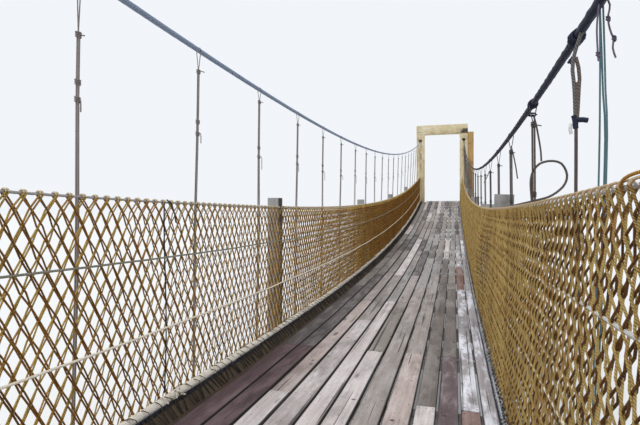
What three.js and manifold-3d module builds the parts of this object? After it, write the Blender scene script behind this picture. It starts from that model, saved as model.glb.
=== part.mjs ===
// A rope suspension footbridge: two timber portals, two main cables anchored behind them, a sagging
// plank deck hung on wire hangers, and a rope net on each side between a handrail cable and a
// bottom rail. Millimetres, +Z up. X runs along the bridge, +Y is the left side seen towards +X,
// and the origin lies at floor level below the middle of the span.
import * as THREE from "three";
import { mergeVertices } from "three/addons/utils/BufferGeometryUtils.js";
import Module from "manifold-3d";

const wasm = await Module();
wasm.setup();

// Driving dimensions
const HALF_SPAN = 17000; // from the lowest point to the centre of a portal
const DECK_LOW = 620; // deck surface above the floor at the lowest point
const DECK_SAG = 1450; // rise of the deck surface from there to a portal
const CABLE_AT_POST = 4530; // main cable centre above the floor at a portal
const SEAT_GAP = 0.3; // clearance between pieces that touch
const STATION = 2000; // chord length along the sagging lines
const HANGER_PITCH = 930;
const LAST_HANGER = 17 * HANGER_PITCH;

const POST_WIDTH = 320; // portal post, square
const POST_Y = 860; // centre of a portal post
const LINTEL_BOTTOM = 4840;
const LINTEL_DEPTH = 375;
const LINTEL_THICKNESS = 300;
const OUTER_POST = { width: 225, thickness: 290, top: 4880 };
const CABLE_HOLE_RADIUS = 56;
const CABLE_HOLE_SIDES = 12;

const ANCHOR = { length: 700, width: 770, height: 640, x: 19350 };
const CABLE_RADIUS = 15;
const CABLE_SIDES = 8;
const ANCHOR_EMBEDMENT = 250; // length of cable inside the anchor block
const SADDLE_REACH = 45; // from the back face of a post to the turn of the cable

const BOARD_COUNT = 12;
const BOARD_GAP = 9;
const BOARD_THICKNESS = 35;
const DECK_LEFT = 765; // edges of the deck across the bridge
const DECK_RIGHT = -700;
const DECK_END = 17160;
const DECK_JOINTS = [-15.5, -11.5, -7.5, -2.5, 2.5, 7.5, 11.5, 15.5].map((n) => n * HANGER_PITCH);
const WEB_THICKNESS = 21; // left under the grooves between the boards
const BEARER = { width: 90, depth: 60, halfLength: 1100, bite: 10 };
const SILL = { width: 150, depth: 150 };

const HANDRAIL_RADIUS = 8;
const RAIL_RADIUS = 24;
const RAIL_LIFT = 70; // bottom rail centre above the deck surface
const RAIL_SIDES = 6;
const NET_THICKNESS = 12;
const NET_STRAND = 24;
const NET_SELVEDGE = 22;
const NET_CELL = 1000;
const NET_POST_RISE = 90; // post top above the handrail centre
const POST_BITE = 3; // depth that the handrail is let into a net post
const SLOPE_MARGIN = 0.5; // extra clearance that sloping round sections take up
const LASHING = 16;
const HANGER_RADIUS = 9;

// The two sides differ a little, as the bridge in the photograph does. For each, the y of the bottom
// rail, the handrail, the hanger feet and the main cable at the lowest point, the height of the
// handrail above the deck and of the cable above the floor, and the net posts along the bridge.
const SIDES = [
  {
    name: "left",
    sign: 1,
    rail: 870,
    handrail: 890,
    hangerFoot: 990,
    cable: 965,
    netHeight: 1035,
    cableLow: 2560,
    post: { length: 90, width: 100 },
    posts: [-11700, -7980, -3330, 300, 4110, 7830, 11550],
  },
  {
    name: "right",
    sign: -1,
    rail: 745,
    handrail: 805,
    hangerFoot: 860,
    cable: 846,
    netHeight: 1015,
    cableLow: 2130,
    post: { length: 60, width: 126 },
    posts: [-12240, -8520, -3870, 780, 2640, 6360, 11010],
  },
];
const ENDS = [
  { name: "near", sign: -1 },
  { name: "far", sign: 1 },
];

// Colours and finishes
const material = (color, roughness, metalness = 0) =>
  new THREE.MeshStandardMaterial({ color, roughness, metalness });
const PORTAL_TIMBER = material(0xc9ad6c, 0.8);
const SHADED_TIMBER = material(0xa9813f, 0.85);
const GREY_BOARDS = material(0x8f8982, 0.9);
const WEATHERED_POST = material(0x8b8479, 0.9);
const PALE_POLE = material(0xcfc6ae, 0.7);
const STEEL_CABLE = material(0x3a3f47, 0.6, 0.6);
const ROPE = material(0xb38b45, 0.95);
const CONCRETE = material(0x9a9891, 0.95);

// Heights of the sagging lines
const sagShare = (x) => (x / HALF_SPAN) ** 2;
const deckTop = (x) => DECK_LOW + DECK_SAG * sagShare(x);
const cableHeight = (side, x) => side.cableLow + (CABLE_AT_POST - side.cableLow) * sagShare(x);
const handrailHeight = (side, x) => deckTop(x) + side.netHeight;
const railHeight = (side, x) => deckTop(x) + RAIL_LIFT;
const cableY = (side, x) => side.sign * (side.cable - (side.cable - POST_Y) * sagShare(x));
const NET_END = HALF_SPAN - POST_WIDTH / 2 - SEAT_GAP;
const DOORWAY = POST_Y - POST_WIDTH / 2 - SEAT_GAP; // from the middle to the clear side of a post
const END_SLOPE = (2 * DECK_SAG) / HALF_SPAN;

// Solids: three.js geometry joined and cut as closed bodies
function solid(geometry) {
  geometry.deleteAttribute("normal");
  geometry.deleteAttribute("uv");
  const merged = mergeVertices(geometry, 1e-3);
  return new wasm.Manifold(
    new wasm.Mesh({
      numProp: 3,
      vertProperties: merged.attributes.position.array,
      triVerts: new Uint32Array(merged.index.array),
    }),
  );
}

function joined(geometries) {
  return geometries.map(solid).reduce((whole, piece) => whole.add(piece));
}

function bridgeMesh(name, body, finish) {
  const { vertProperties, triVerts } = body.getMesh();
  const geometry = new THREE.BufferGeometry();
  geometry.setAttribute("position", new THREE.BufferAttribute(vertProperties, 3));
  geometry.setIndex(new THREE.BufferAttribute(triVerts, 1));
  geometry.computeVertexNormals();
  const mesh = new THREE.Mesh(geometry, finish);
  mesh.name = name;
  return mesh;
}

// A route through given points, with one step of an extrusion for each stretch between them
class Route extends THREE.Curve {
  constructor(points) {
    super();
    this.points = points;
  }
  getPoint(t) {
    const last = this.points.length - 2;
    const place = t * (last + 1);
    const start = Math.min(Math.max(Math.floor(place), 0), last);
    return new THREE.Vector3().lerpVectors(this.points[start], this.points[start + 1], place - start);
  }
  getUtoTmapping(u) {
    return u;
  }
}

// Distance from the centre of a regular outline to the middle of a side
const flatRadius = (radius, sides) => radius * Math.cos(Math.PI / sides);

function roundSection(radius, sides) {
  const shape = new THREE.Shape();
  for (let i = 0; i < sides; i++) {
    const angle = (2 * Math.PI * (i + 0.5)) / sides;
    const corner = [radius * Math.cos(angle), radius * Math.sin(angle)];
    if (i === 0) shape.moveTo(...corner);
    else shape.lineTo(...corner);
  }
  return shape;
}

function tube(points, radius, sides) {
  return new THREE.ExtrudeGeometry(roundSection(radius, sides), {
    extrudePath: new Route(points),
    steps: points.length - 1,
    bevelEnabled: false,
  });
}

function box(length, width, height, x, y, z) {
  return new THREE.BoxGeometry(length, width, height).translate(x, y, z);
}

// Places of the chords of a sagging line from one x to another
function stations(from, to) {
  const inner = [];
  for (let x = Math.ceil((from + 1) / STATION) * STATION; x < to - 1; x += STATION) inner.push(x);
  return [from, ...inner, to];
}

// The height of a line that runs straight from station to station, and ends at the portal posts
function chordHeight(height, side, x) {
  const station = Math.floor(x / STATION) * STATION;
  const start = Math.max(station, -NET_END);
  const end = Math.min(station + STATION, NET_END);
  return THREE.MathUtils.mapLinear(x, start, end, height(side, start), height(side, end));
}

// A ribbon in the XZ plane between two heights over each station, extruded across the bridge
function ribbon(xs, lower, upper, fromY, toY) {
  const outline = [
    ...xs.map((x) => new THREE.Vector2(x, lower(x))),
    ...xs.toReversed().map((x) => new THREE.Vector2(x, upper(x))),
  ];
  return new THREE.ExtrudeGeometry(new THREE.Shape(outline), {
    depth: toY - fromY,
    bevelEnabled: false,
  })
    .rotateX(Math.PI / 2)
    .translate(0, toY, 0);
}

// Portals: posts with a hole for the main cable, an outer timber on the right, and the lintel
function portalPost(end, side) {
  const height = LINTEL_BOTTOM - SEAT_GAP;
  const place = [end.sign * HALF_SPAN, side.sign * POST_Y, height / 2];
  const post = box(POST_WIDTH, POST_WIDTH, height, ...place);
  const seat = CABLE_AT_POST - flatRadius(CABLE_RADIUS, CABLE_SIDES) - SEAT_GAP;
  const hole = new THREE.CylinderGeometry(
    CABLE_HOLE_RADIUS,
    CABLE_HOLE_RADIUS,
    2 * POST_WIDTH,
    CABLE_HOLE_SIDES,
  )
    .rotateY(Math.PI / CABLE_HOLE_SIDES)
    .rotateZ(Math.PI / 2)
    .translate(
      end.sign * HALF_SPAN,
      side.sign * POST_Y,
      seat + flatRadius(CABLE_HOLE_RADIUS, CABLE_HOLE_SIDES),
    );
  return bridgeMesh(
    `${end.name}_${side.name}_portal_post`,
    solid(post).subtract(solid(hole)),
    PORTAL_TIMBER,
  );
}

function outerPost(end) {
  const y = -(POST_Y + POST_WIDTH / 2 + SEAT_GAP + OUTER_POST.width / 2);
  const timber = box(
    OUTER_POST.thickness,
    OUTER_POST.width,
    OUTER_POST.top,
    end.sign * HALF_SPAN,
    y,
    OUTER_POST.top / 2,
  );
  return bridgeMesh(`${end.name}_right_outer_post`, solid(timber), SHADED_TIMBER);
}

function lintel(end) {
  const beam = box(
    LINTEL_THICKNESS,
    2 * POST_Y + POST_WIDTH,
    LINTEL_DEPTH,
    end.sign * HALF_SPAN,
    0,
    LINTEL_BOTTOM + LINTEL_DEPTH / 2,
  );
  return bridgeMesh(`${end.name}_lintel`, solid(beam), PORTAL_TIMBER);
}

// Main cables: from one anchor block through both portals to the other, with the hangers on them
function backstay(end, side) {
  const turn = new THREE.Vector3(
    end.sign * (HALF_SPAN + POST_WIDTH / 2 + SADDLE_REACH),
    side.sign * POST_Y,
    CABLE_AT_POST,
  );
  const foot = new THREE.Vector3(end.sign * ANCHOR.x, side.sign * POST_Y, ANCHOR.height);
  const down = foot.clone().sub(turn).normalize();
  const buried = foot.addScaledVector(down, ANCHOR_EMBEDMENT);
  const eased = turn.clone().addScaledVector(down, 2 * CABLE_RADIUS);
  const level = turn.clone().sub(new THREE.Vector3(end.sign * CABLE_RADIUS, 0, 0));
  return [level, eased, buried];
}

function mainCablePoints(side) {
  const postFace = HALF_SPAN - POST_WIDTH / 2 - SADDLE_REACH;
  const span = stations(-LAST_HANGER, LAST_HANGER).map(
    (x) => new THREE.Vector3(x, cableY(side, x), cableHeight(side, x)),
  );
  const entry = (end) => new THREE.Vector3(end.sign * postFace, side.sign * POST_Y, CABLE_AT_POST);
  const [near, far] = ENDS;
  return [
    ...backstay(near, side).toReversed(),
    entry(near),
    ...span,
    entry(far),
    ...backstay(far, side),
  ];
}

function hanger(side, x) {
  const top = new THREE.Vector3(x, cableY(side, x), chordHeight(cableHeight, side, x));
  const seat = bearerTop(x) + SEAT_GAP + SLOPE_MARGIN;
  return tube([top, new THREE.Vector3(x, side.sign * side.hangerFoot, seat)], HANGER_RADIUS, 4);
}

function mainCable(side) {
  const pieces = [tube(mainCablePoints(side), CABLE_RADIUS, CABLE_SIDES)];
  for (let x = -LAST_HANGER; x <= LAST_HANGER; x += HANGER_PITCH) pieces.push(hanger(side, x));
  return bridgeMesh(`${side.name}_main_cable`, joined(pieces), STEEL_CABLE);
}

// Anchor blocks: concrete, with the end of the cable let in from above
function anchorBlock(end, side) {
  const block = box(
    ANCHOR.length,
    ANCHOR.width,
    ANCHOR.height,
    end.sign * ANCHOR.x,
    side.sign * POST_Y,
    ANCHOR.height / 2,
  );
  const [, eased, buried] = backstay(end, side);
  const onward = buried.clone().sub(eased).normalize().multiplyScalar(SEAT_GAP);
  const socket = tube([eased, buried.add(onward)], CABLE_RADIUS + SEAT_GAP, CABLE_SIDES);
  return bridgeMesh(
    `${end.name}_${side.name}_anchor_block`,
    solid(block).subtract(solid(socket)),
    CONCRETE,
  );
}

// Deck bays: boards grooved out of one ribbon, on cross bearers
const bearerTop = (x) => deckTop(x) - BOARD_THICKNESS + BEARER.bite;

function bearer(x, halfLength, width, depth) {
  return box(width, 2 * halfLength, depth, x, 0, bearerTop(x) - depth / 2);
}

function bearerPlaces() {
  const places = SIDES.flatMap((side) => side.posts);
  for (let x = -LAST_HANGER; x <= LAST_HANGER; x += HANGER_PITCH) places.push(x);
  return places;
}

function deckBay(number, from, to) {
  const middle = (from + to) / 2;
  const xs = [from + SEAT_GAP / 2, middle, to - SEAT_GAP / 2];
  const under = (x) => deckTop(x) - BOARD_THICKNESS;
  const web = (x) => under(x) + WEB_THICKNESS;
  const pieces = [];
  const pitch = (DECK_LEFT - DECK_RIGHT + BOARD_GAP) / BOARD_COUNT;
  for (let i = 0; i < BOARD_COUNT; i++) {
    const right = DECK_RIGHT + i * pitch;
    const left = right + pitch - BOARD_GAP;
    // A board wider out than the doorway stops at the posts
    const row = left < DOORWAY ? xs : xs.map((x) => THREE.MathUtils.clamp(x, -NET_END, NET_END));
    pieces.push(ribbon(row, under, deckTop, right, left));
    pieces.push(ribbon(row, under, web, Math.max(right - BOARD_GAP, DECK_RIGHT), left));
  }
  for (const x of bearerPlaces().filter((place) => place > from && place < to)) {
    pieces.push(bearer(x, BEARER.halfLength, BEARER.width, BEARER.depth));
  }
  for (const end of ENDS) {
    const x = end.sign * HALF_SPAN;
    if (x > from && x < to) pieces.push(bearer(x, DOORWAY, SILL.width, SILL.depth));
  }
  return bridgeMesh(`deck_bay_${number}`, joined(pieces), GREY_BOARDS);
}

// Handrail cables with the net posts, bottom rails with their lashings, and the nets
// A round line that sags with the deck, cut so that its tilted ends just reach the portal posts
function sideLine(side, y, height, radius) {
  const reach = NET_END - radius * END_SLOPE;
  const points = stations(-reach, reach).map((x) => new THREE.Vector3(x, side.sign * y, height(side, x)));
  return tube(points, radius, RAIL_SIDES);
}

function netPost(side, x) {
  const innerFoot = side.rail + RAIL_RADIUS + SLOPE_MARGIN;
  const innerTop = side.handrail + HANDRAIL_RADIUS - POST_BITE;
  const foot = bearerTop(x) + SEAT_GAP;
  const top = handrailHeight(side, x) + NET_POST_RISE;
  const post = new THREE.BoxGeometry(side.post.length, side.post.width, top - foot);
  post.translate(x, 0, (top + foot) / 2);
  const position = post.attributes.position;
  for (let i = 0; i < position.count; i++) {
    const share = (position.getZ(i) - foot) / (handrailHeight(side, x) - foot);
    const innerFace = innerFoot + (innerTop - innerFoot) * share;
    position.setY(i, position.getY(i) + side.sign * (innerFace + side.post.width / 2));
  }
  return post;
}

function handrail(side) {
  const cable = sideLine(side, side.handrail, handrailHeight, HANDRAIL_RADIUS);
  const pieces = [cable, ...side.posts.map((x) => netPost(side, x))];
  return bridgeMesh(`${side.name}_handrail`, joined(pieces), WEATHERED_POST);
}

function bottomRail(side) {
  const y = side.sign * side.rail;
  const pieces = [sideLine(side, side.rail, railHeight, RAIL_RADIUS)];
  for (let x = -LAST_HANGER; x <= LAST_HANGER; x += HANGER_PITCH) {
    const foot = bearerTop(x) + SEAT_GAP;
    const top = chordHeight(railHeight, side, x);
    pieces.push(box(LASHING, LASHING, top - foot, x, y, (top + foot) / 2));
  }
  return bridgeMesh(`${side.name}_bottom_rail`, joined(pieces), PALE_POLE);
}

// A net panel is drawn in the XZ plane, where a place is its x and its share of the net's height
function netPanel(side, number, from, to) {
  const clearance = SEAT_GAP + SLOPE_MARGIN;
  const lower = (x) => chordHeight(railHeight, side, x) + RAIL_RADIUS + clearance;
  const upper = (x) => chordHeight(handrailHeight, side, x) - HANDRAIL_RADIUS - clearance;
  const at = (x, share) => new THREE.Vector2(x, lower(x) * (1 - share) + upper(x) * share);
  const xs = stations(from + SEAT_GAP / 2, to - SEAT_GAP / 2);
  const panel = new THREE.Shape([
    ...xs.map((x) => at(x, 0)),
    ...xs.toReversed().map((x) => at(x, 1)),
  ]);
  const height = upper(from) - lower(from);
  const edge = NET_SELVEDGE / height;
  const cells = Math.round((to - from) / NET_CELL);
  const cell = (to - from - 2 * NET_SELVEDGE) / cells;
  const point = NET_STRAND / height;
  for (let i = 0; i < cells; i++) {
    const start = from + NET_SELVEDGE + i * cell;
    const middle = start + cell / 2;
    const end = start + cell;
    panel.holes.push(
      new THREE.Path([
        at(start + NET_STRAND, 0.5),
        at(middle, edge + point),
        at(end - NET_STRAND, 0.5),
        at(middle, 1 - edge - point),
      ]),
    );
    if (i === cells - 1) continue;
    for (const [near, tip] of [[edge, 0.5 - 2 * point], [1 - edge, 0.5 + 2 * point]]) {
      const corners = [middle + 2 * NET_STRAND, end + cell / 2 - 2 * NET_STRAND];
      panel.holes.push(new THREE.Path([at(corners[0], near), at(end, tip), at(corners[1], near)]));
    }
  }
  const geometry = new THREE.ExtrudeGeometry(panel, { depth: NET_THICKNESS, bevelEnabled: false })
    .rotateX(Math.PI / 2)
    .translate(0, NET_THICKNESS / 2, 0);
  const position = geometry.attributes.position;
  for (let i = 0; i < position.count; i++) {
    const x = position.getX(i);
    const share = (position.getZ(i) - lower(x)) / (upper(x) - lower(x));
    const outerFace = side.rail + (side.handrail - side.rail) * share;
    position.setY(i, position.getY(i) + side.sign * (outerFace - NET_THICKNESS / 2));
  }
  return bridgeMesh(`${side.name}_net_${number}`, solid(geometry), ROPE);
}

// The bridge
const bridge = new THREE.Group();
for (const end of ENDS) {
  bridge.add(lintel(end), outerPost(end));
  for (const side of SIDES) bridge.add(portalPost(end, side), anchorBlock(end, side));
}
const bayEdges = [-DECK_END, ...DECK_JOINTS, DECK_END];
bayEdges.slice(1).forEach((to, i) => bridge.add(deckBay(i + 1, bayEdges[i], to)));
for (const side of SIDES) {
  const panelEdges = [-NET_END, ...side.posts, NET_END];
  bridge.add(mainCable(side), handrail(side), bottomRail(side));
  panelEdges.slice(1).forEach((to, i) => bridge.add(netPanel(side, i + 1, panelEdges[i], to)));
}

export default bridge;
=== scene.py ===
"""A rope suspension footbridge, dressed for a studio picture from the middle of its deck."""

import math
import random
from functools import cache
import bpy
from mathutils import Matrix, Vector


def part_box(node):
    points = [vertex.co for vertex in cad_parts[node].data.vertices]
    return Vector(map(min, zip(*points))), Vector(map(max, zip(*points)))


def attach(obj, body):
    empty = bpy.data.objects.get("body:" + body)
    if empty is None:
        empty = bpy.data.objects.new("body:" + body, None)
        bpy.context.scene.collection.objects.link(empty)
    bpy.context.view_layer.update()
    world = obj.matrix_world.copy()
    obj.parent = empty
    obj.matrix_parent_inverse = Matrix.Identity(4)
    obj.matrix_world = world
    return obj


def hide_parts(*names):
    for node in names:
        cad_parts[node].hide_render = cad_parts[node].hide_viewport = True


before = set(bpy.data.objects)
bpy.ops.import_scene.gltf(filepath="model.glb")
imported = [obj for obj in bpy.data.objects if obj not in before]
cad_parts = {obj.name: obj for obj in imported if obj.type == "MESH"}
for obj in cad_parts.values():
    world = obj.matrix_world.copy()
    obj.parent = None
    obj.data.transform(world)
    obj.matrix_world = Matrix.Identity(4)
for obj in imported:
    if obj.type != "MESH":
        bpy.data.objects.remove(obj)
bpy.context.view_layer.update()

from types import SimpleNamespace

import bpy
from bpy.props import FloatProperty, FloatVectorProperty, PointerProperty
from mathutils import Vector

bl_info = {
    "name": "Rope Suspension Footbridge",
    "version": (1, 0, 0),
    "blender": (4, 5, 0),
    "location": "View3D > Sidebar > Footbridge",
    "description": "Builds a rope suspension footbridge and its studio, piece by piece",
    "category": "Object",
}

BODY = "root"
SEED = 41

# Heights of the deck, read from the frame: the deck surface is DECK_LOW + DECK_RATE * x * x
END_BAY_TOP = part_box("deck_bay_9")[1]
MIDDLE_BAY_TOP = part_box("deck_bay_5")[1]
DECK_RATE = (END_BAY_TOP.z - MIDDLE_BAY_TOP.z) / (END_BAY_TOP.x**2 - MIDDLE_BAY_TOP.x**2)
DECK_LOW = MIDDLE_BAY_TOP.z - DECK_RATE * MIDDLE_BAY_TOP.x**2
DECK_END = 17.16
FAR_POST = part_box("far_left_portal_post")
HALF_SPAN = (FAR_POST[0].x + FAR_POST[1].x) / 2
POST_Y = (FAR_POST[0].y + FAR_POST[1].y) / 2
POST_FACE = FAR_POST[0].x
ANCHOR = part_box("far_left_anchor_block")
ANCHOR_X = (ANCHOR[0].x + ANCHOR[1].x) / 2
CABLE_AT_POST = 4.53
CABLE_RADIUS = 0.015
SADDLE_REACH = 0.045
HANGER_PITCH = 0.93
FIRST_HANGER = -17
HANGERS = [n * HANGER_PITCH for n in range(FIRST_HANGER, 1 - FIRST_HANGER)]
BEARER_DEPTH = 0.06
BEARER_WIDTH = 0.09
BEARER_TOP = -0.035
RAIL_RADIUS = 0.024
RAIL_LIFT = 0.07
HANDRAIL_RADIUS = 0.006
# Edges of sawn timber sharper than this stay sharp, in degrees
CREASE = 35

# The two sides of the bridge, as the frame and the photograph have them. rail, handrail, foot (of
# the hangers), cable (at mid-span) and deck_edge are distances to the middle, net_height is over
# the deck and cable_low over the floor. foot_side says whether the net ends on the outer (1) or the
# inner side (-1) of the rail, and twist whether its strands cross right under the handrail. The
# bulge is the middle, the half length and the depth of a panel that hangs slack, and rises are the
# heights of the posts over the handrail. levels are the crossings of a strand, of which each slant
# has its own finish and distance in front of the net. The ropes have a height, finish and radius
SIDES = {
    "left": SimpleNamespace(
        sign=1, rail=0.87, handrail=0.89, foot=0.99, cable=0.965, deck_edge=0.765,
        net_height=1.035, cable_low=2.56, foot_side=1, twist=0.0, bulge=(0.0, 1.0, 0.0),
        posts=(-11.7, -7.98, -3.33, 0.3, 4.11, 7.83, 11.55), rises=(0.08,),
        post_length=0.09, post_width=0.1, post_inset=0.034, poles="Peeled pole",
        main_cable={"finish": "Pale cable", "groove": 0.02, "lay": 0.96}, wire="Hanger wire",
        edge_cables=((0.8375, 0.064), (0.8345, 0.050)), hitches="Hitched twine", hitch_gap=0.001,
        levels=18, twine_scale=1.12, fuller=1.22, weave=0.003,
        # One twine in both slants: the back strands are painted lit, the fore strands painted in
        # shade, as the light falls on each slant
        strands=(("fore", 1.0, "Rusty twine", 0.0022), ("back", -1.0, "Golden twine", -0.0022)),
        ropes=(("upper", 0.767, "Grey-green rope", 0.0048), ("lower", 0.424, "Cream rope", 0.005)),
        rope_inset=0.024,
    ),
    "right": SimpleNamespace(
        sign=-1, rail=0.745, handrail=0.805, foot=0.86, cable=0.846, deck_edge=0.70,
        net_height=1.015, cable_low=2.13, foot_side=-1, twist=1.0, bulge=(1.71, 0.93, 0.07),
        posts=(-12.24, -8.52, -3.87, 0.78, 2.64, 6.36, 11.01),
        rises=(0.10, 0.07, 0.09, 0.125, 0.045, 0.08, 0.06),
        post_length=0.06, post_width=0.15, post_inset=0.016, poles="Dull pole",
        main_cable={"finish": "Black cable", "groove": 0.035, "lay": 0.64}, wire="Dark hanger wire",
        edge_cables=((0.688, 0.012), (0.708, 0.024)), hitches="Soiled twine", hitch_gap=0.005,
        levels=19, twine_scale=1.0, fuller=1.0, weave=0.0055,
        # One twine in both slants: the back strands are painted lit, the fore strands painted in
        # shade, as the light falls on each slant
        strands=(("fore", 1.0, "Shaded twine", -0.0015), ("back", -1.0, "Lit twine", 0.0015)),
        ropes=(("upper", 0.746, "Worn rope", 0.00552), ("lower", 0.426, "Whitish rope", 0.00575)),
        rope_inset=-0.004,
    ),
}


def deck(x):
    return DECK_LOW + DECK_RATE * x * x


def cable_height(side, x):
    return side.cable_low + (CABLE_AT_POST - side.cable_low) * (x / HALF_SPAN) ** 2


def cable_at(side, x):
    """A place on the axis of a main cable."""
    y = side.cable - (side.cable - POST_Y) * (x / HALF_SPAN) ** 2
    return Vector((x, side.sign * y, cable_height(side, x)))


def beside(side, x, y, lift):
    """A place on one side, from its distance to the middle and its height over the deck."""
    return Vector((x, side.sign * y, deck(x) + lift))


def spread(start, stop, step):
    """Evenly spaced values from start to stop, both included."""
    count = max(1, round((stop - start) / step))
    return [start + (stop - start) * i / count for i in range(count + 1)]


def rounded(points, parts=4):
    """A smooth line through the points, which are about evenly spaced."""
    points = [Vector(point) for point in points]
    smooth = []
    for a, b, c, d in zip([points[0], *points], points, points[1:], [*points[2:], points[-1]]):
        for t in spread(0, 1, 1 / parts)[:-1]:
            bend = (c - a) * t + (2 * a - 5 * b + 4 * c - d) * t**2 + (3 * b - a - 3 * c + d) * t**3
            smooth.append(b + bend / 2)
    return [*smooth, points[-1]]


def linked(name, data):
    """A new object in the scene."""
    made = bpy.data.objects.new(name, data)
    bpy.context.scene.collection.objects.link(made)
    return made


def evaluated(made):
    """The mesh of an object with its modifiers applied."""
    graph = bpy.context.evaluated_depsgraph_get()
    return bpy.data.meshes.new_from_object(made.evaluated_get(graph), depsgraph=graph)


# Sizes and colours a user would change


def length(name, default, description):
    return FloatProperty(
        name=name, description=description, default=default, unit="LENGTH", precision=4
    )


def colour(name, default, description):
    return FloatVectorProperty(
        name=name, description=description, default=default, subtype="COLOR", size=3, min=0, max=1
    )


class FootbridgeNetSizes(bpy.types.PropertyGroup):
    """Sizes of the rope nets"""

    twine: length("Twine diameter", 0.0062, "Diameter of one of the two twines of a strand")
    cell: length("Cell width", 0.066, "Distance between two hitches on the handrail")
    lashing: length("Lashing pitch", 0.085, "Distance between two lashings of the bottom rail")


class FootbridgeDeckSizes(bpy.types.PropertyGroup):
    """Sizes of the boards"""

    thickness: length("Board thickness", 0.035, "Thickness of a board")
    nail: length("Nail head", 0.007, "Diameter of a nail head")


class FootbridgeColours(bpy.types.PropertyGroup):
    """Colours of the finishes"""

    portal: colour("Portal timber", (0.62, 0.52, 0.32), "Yellowed timber of the portals")
    outer_post: colour("Outer post", (0.50, 0.31, 0.12), "Brown timber beside the right posts")
    grey_wood: colour("Grey wood", (0.39, 0.38, 0.375), "Net posts and bearers")
    pole: colour("Pole", (0.92, 0.86, 0.76), "Peeled poles of the bottom rails")
    # lit and shaded are one twine with painted light and painted shade, for the two slants of the
    # nets
    lit: colour("Lit twine", (0.53, 0.37, 0.125), "Golden twines, painted as lit by the sun")
    shaded: colour("Shaded twine", (0.18, 0.078, 0.02), "Rust-brown twines of the other slant")
    cable: colour("Cable", (0.015, 0.021, 0.042), "Dark wire rope")
    pale_cable: colour("Pale cable", (0.19, 0.24, 0.33), "Blue-grey wire rope on the left")
    handrail: colour("Handrail", (0.36, 0.35, 0.345), "Grey wire of the handrails")
    hanger: colour("Hanger", (0.235, 0.21, 0.20), "Doubled wire of the hangers")
    concrete: colour("Concrete", (0.40, 0.38, 0.34), "Anchor blocks")
    floor: colour("Floor", (0.80, 0.80, 0.79), "Studio floor")


# Node trees written as expressions


def arithmetic(operation):
    return lambda wire, other: wire.math(operation, other)


class Wire:
    """A value in a node tree. Arithmetic on it adds Math nodes to the tree."""

    def __init__(self, maker, socket):
        self.maker = maker
        self.socket = socket

    def math(self, operation, *others):
        values = dict(enumerate((self, *others)))
        return self.maker.node("ShaderNodeMath", values, operation=operation)["Value"]

    __add__ = __radd__ = arithmetic("ADD")
    __mul__ = __rmul__ = arithmetic("MULTIPLY")
    __sub__ = arithmetic("SUBTRACT")
    __truediv__ = arithmetic("DIVIDE")
    __pow__ = arithmetic("POWER")

    def __rsub__(self, other):
        return self * -1 + other

    def __abs__(self):
        return self.math("ABSOLUTE")

    def between(self, low, high):
        """0 below low and 1 above high, with a soft step between them."""
        values = {"Value": self, "From Min": low, "From Max": high}
        step = self.maker.node("ShaderNodeMapRange", values, interpolation_type="SMOOTHSTEP")
        return step["Result"]

    def parts(self):
        split = self.maker.node("ShaderNodeSeparateXYZ", {"Vector": self})
        return split["X"], split["Y"], split["Z"]


class Made:
    """A node whose outputs are read by name."""

    def __init__(self, maker, node):
        self.maker = maker
        self.node = node

    def __getitem__(self, name):
        return Wire(self.maker, next(s for s in self.node.outputs if s.name == name and s.enabled))


class NodeMaker:
    """Adds nodes to a tree."""

    def __init__(self, tree):
        self.tree = tree

    def node(self, kind, sockets=None, **settings):
        """A node of a kind: its settings first, then values or links for its sockets."""
        node = self.tree.nodes.new(kind)
        for name, value in settings.items():
            setattr(node, name, value)
        for name, value in (sockets or {}).items():
            if isinstance(name, int):
                socket = node.inputs[name]
            else:
                socket = next(s for s in node.inputs if s.name == name and s.enabled)
            if isinstance(value, tuple) and any(isinstance(part, Wire) for part in value):
                value = self.vector(*value)
            if isinstance(value, Wire):
                self.tree.links.new(value.socket, socket)
            else:
                socket.default_value = value
        return Made(self, node)

    def vector(self, x, y, z):
        return self.node("ShaderNodeCombineXYZ", {"X": x, "Y": y, "Z": z})["Vector"]

    def noise(self, place, detail, roughness, scale=1.0, output="Fac"):
        sockets = {"Vector": place, "Scale": scale, "Detail": detail, "Roughness": roughness}
        return self.node("ShaderNodeTexNoise", sockets)[output]


def adds(kind, output, *names, **settings):
    """A method that adds one node, with its values or links in the order of the names."""
    return lambda self, *values: self.node(kind, dict(zip(names, values)), **settings)[output]


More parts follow.
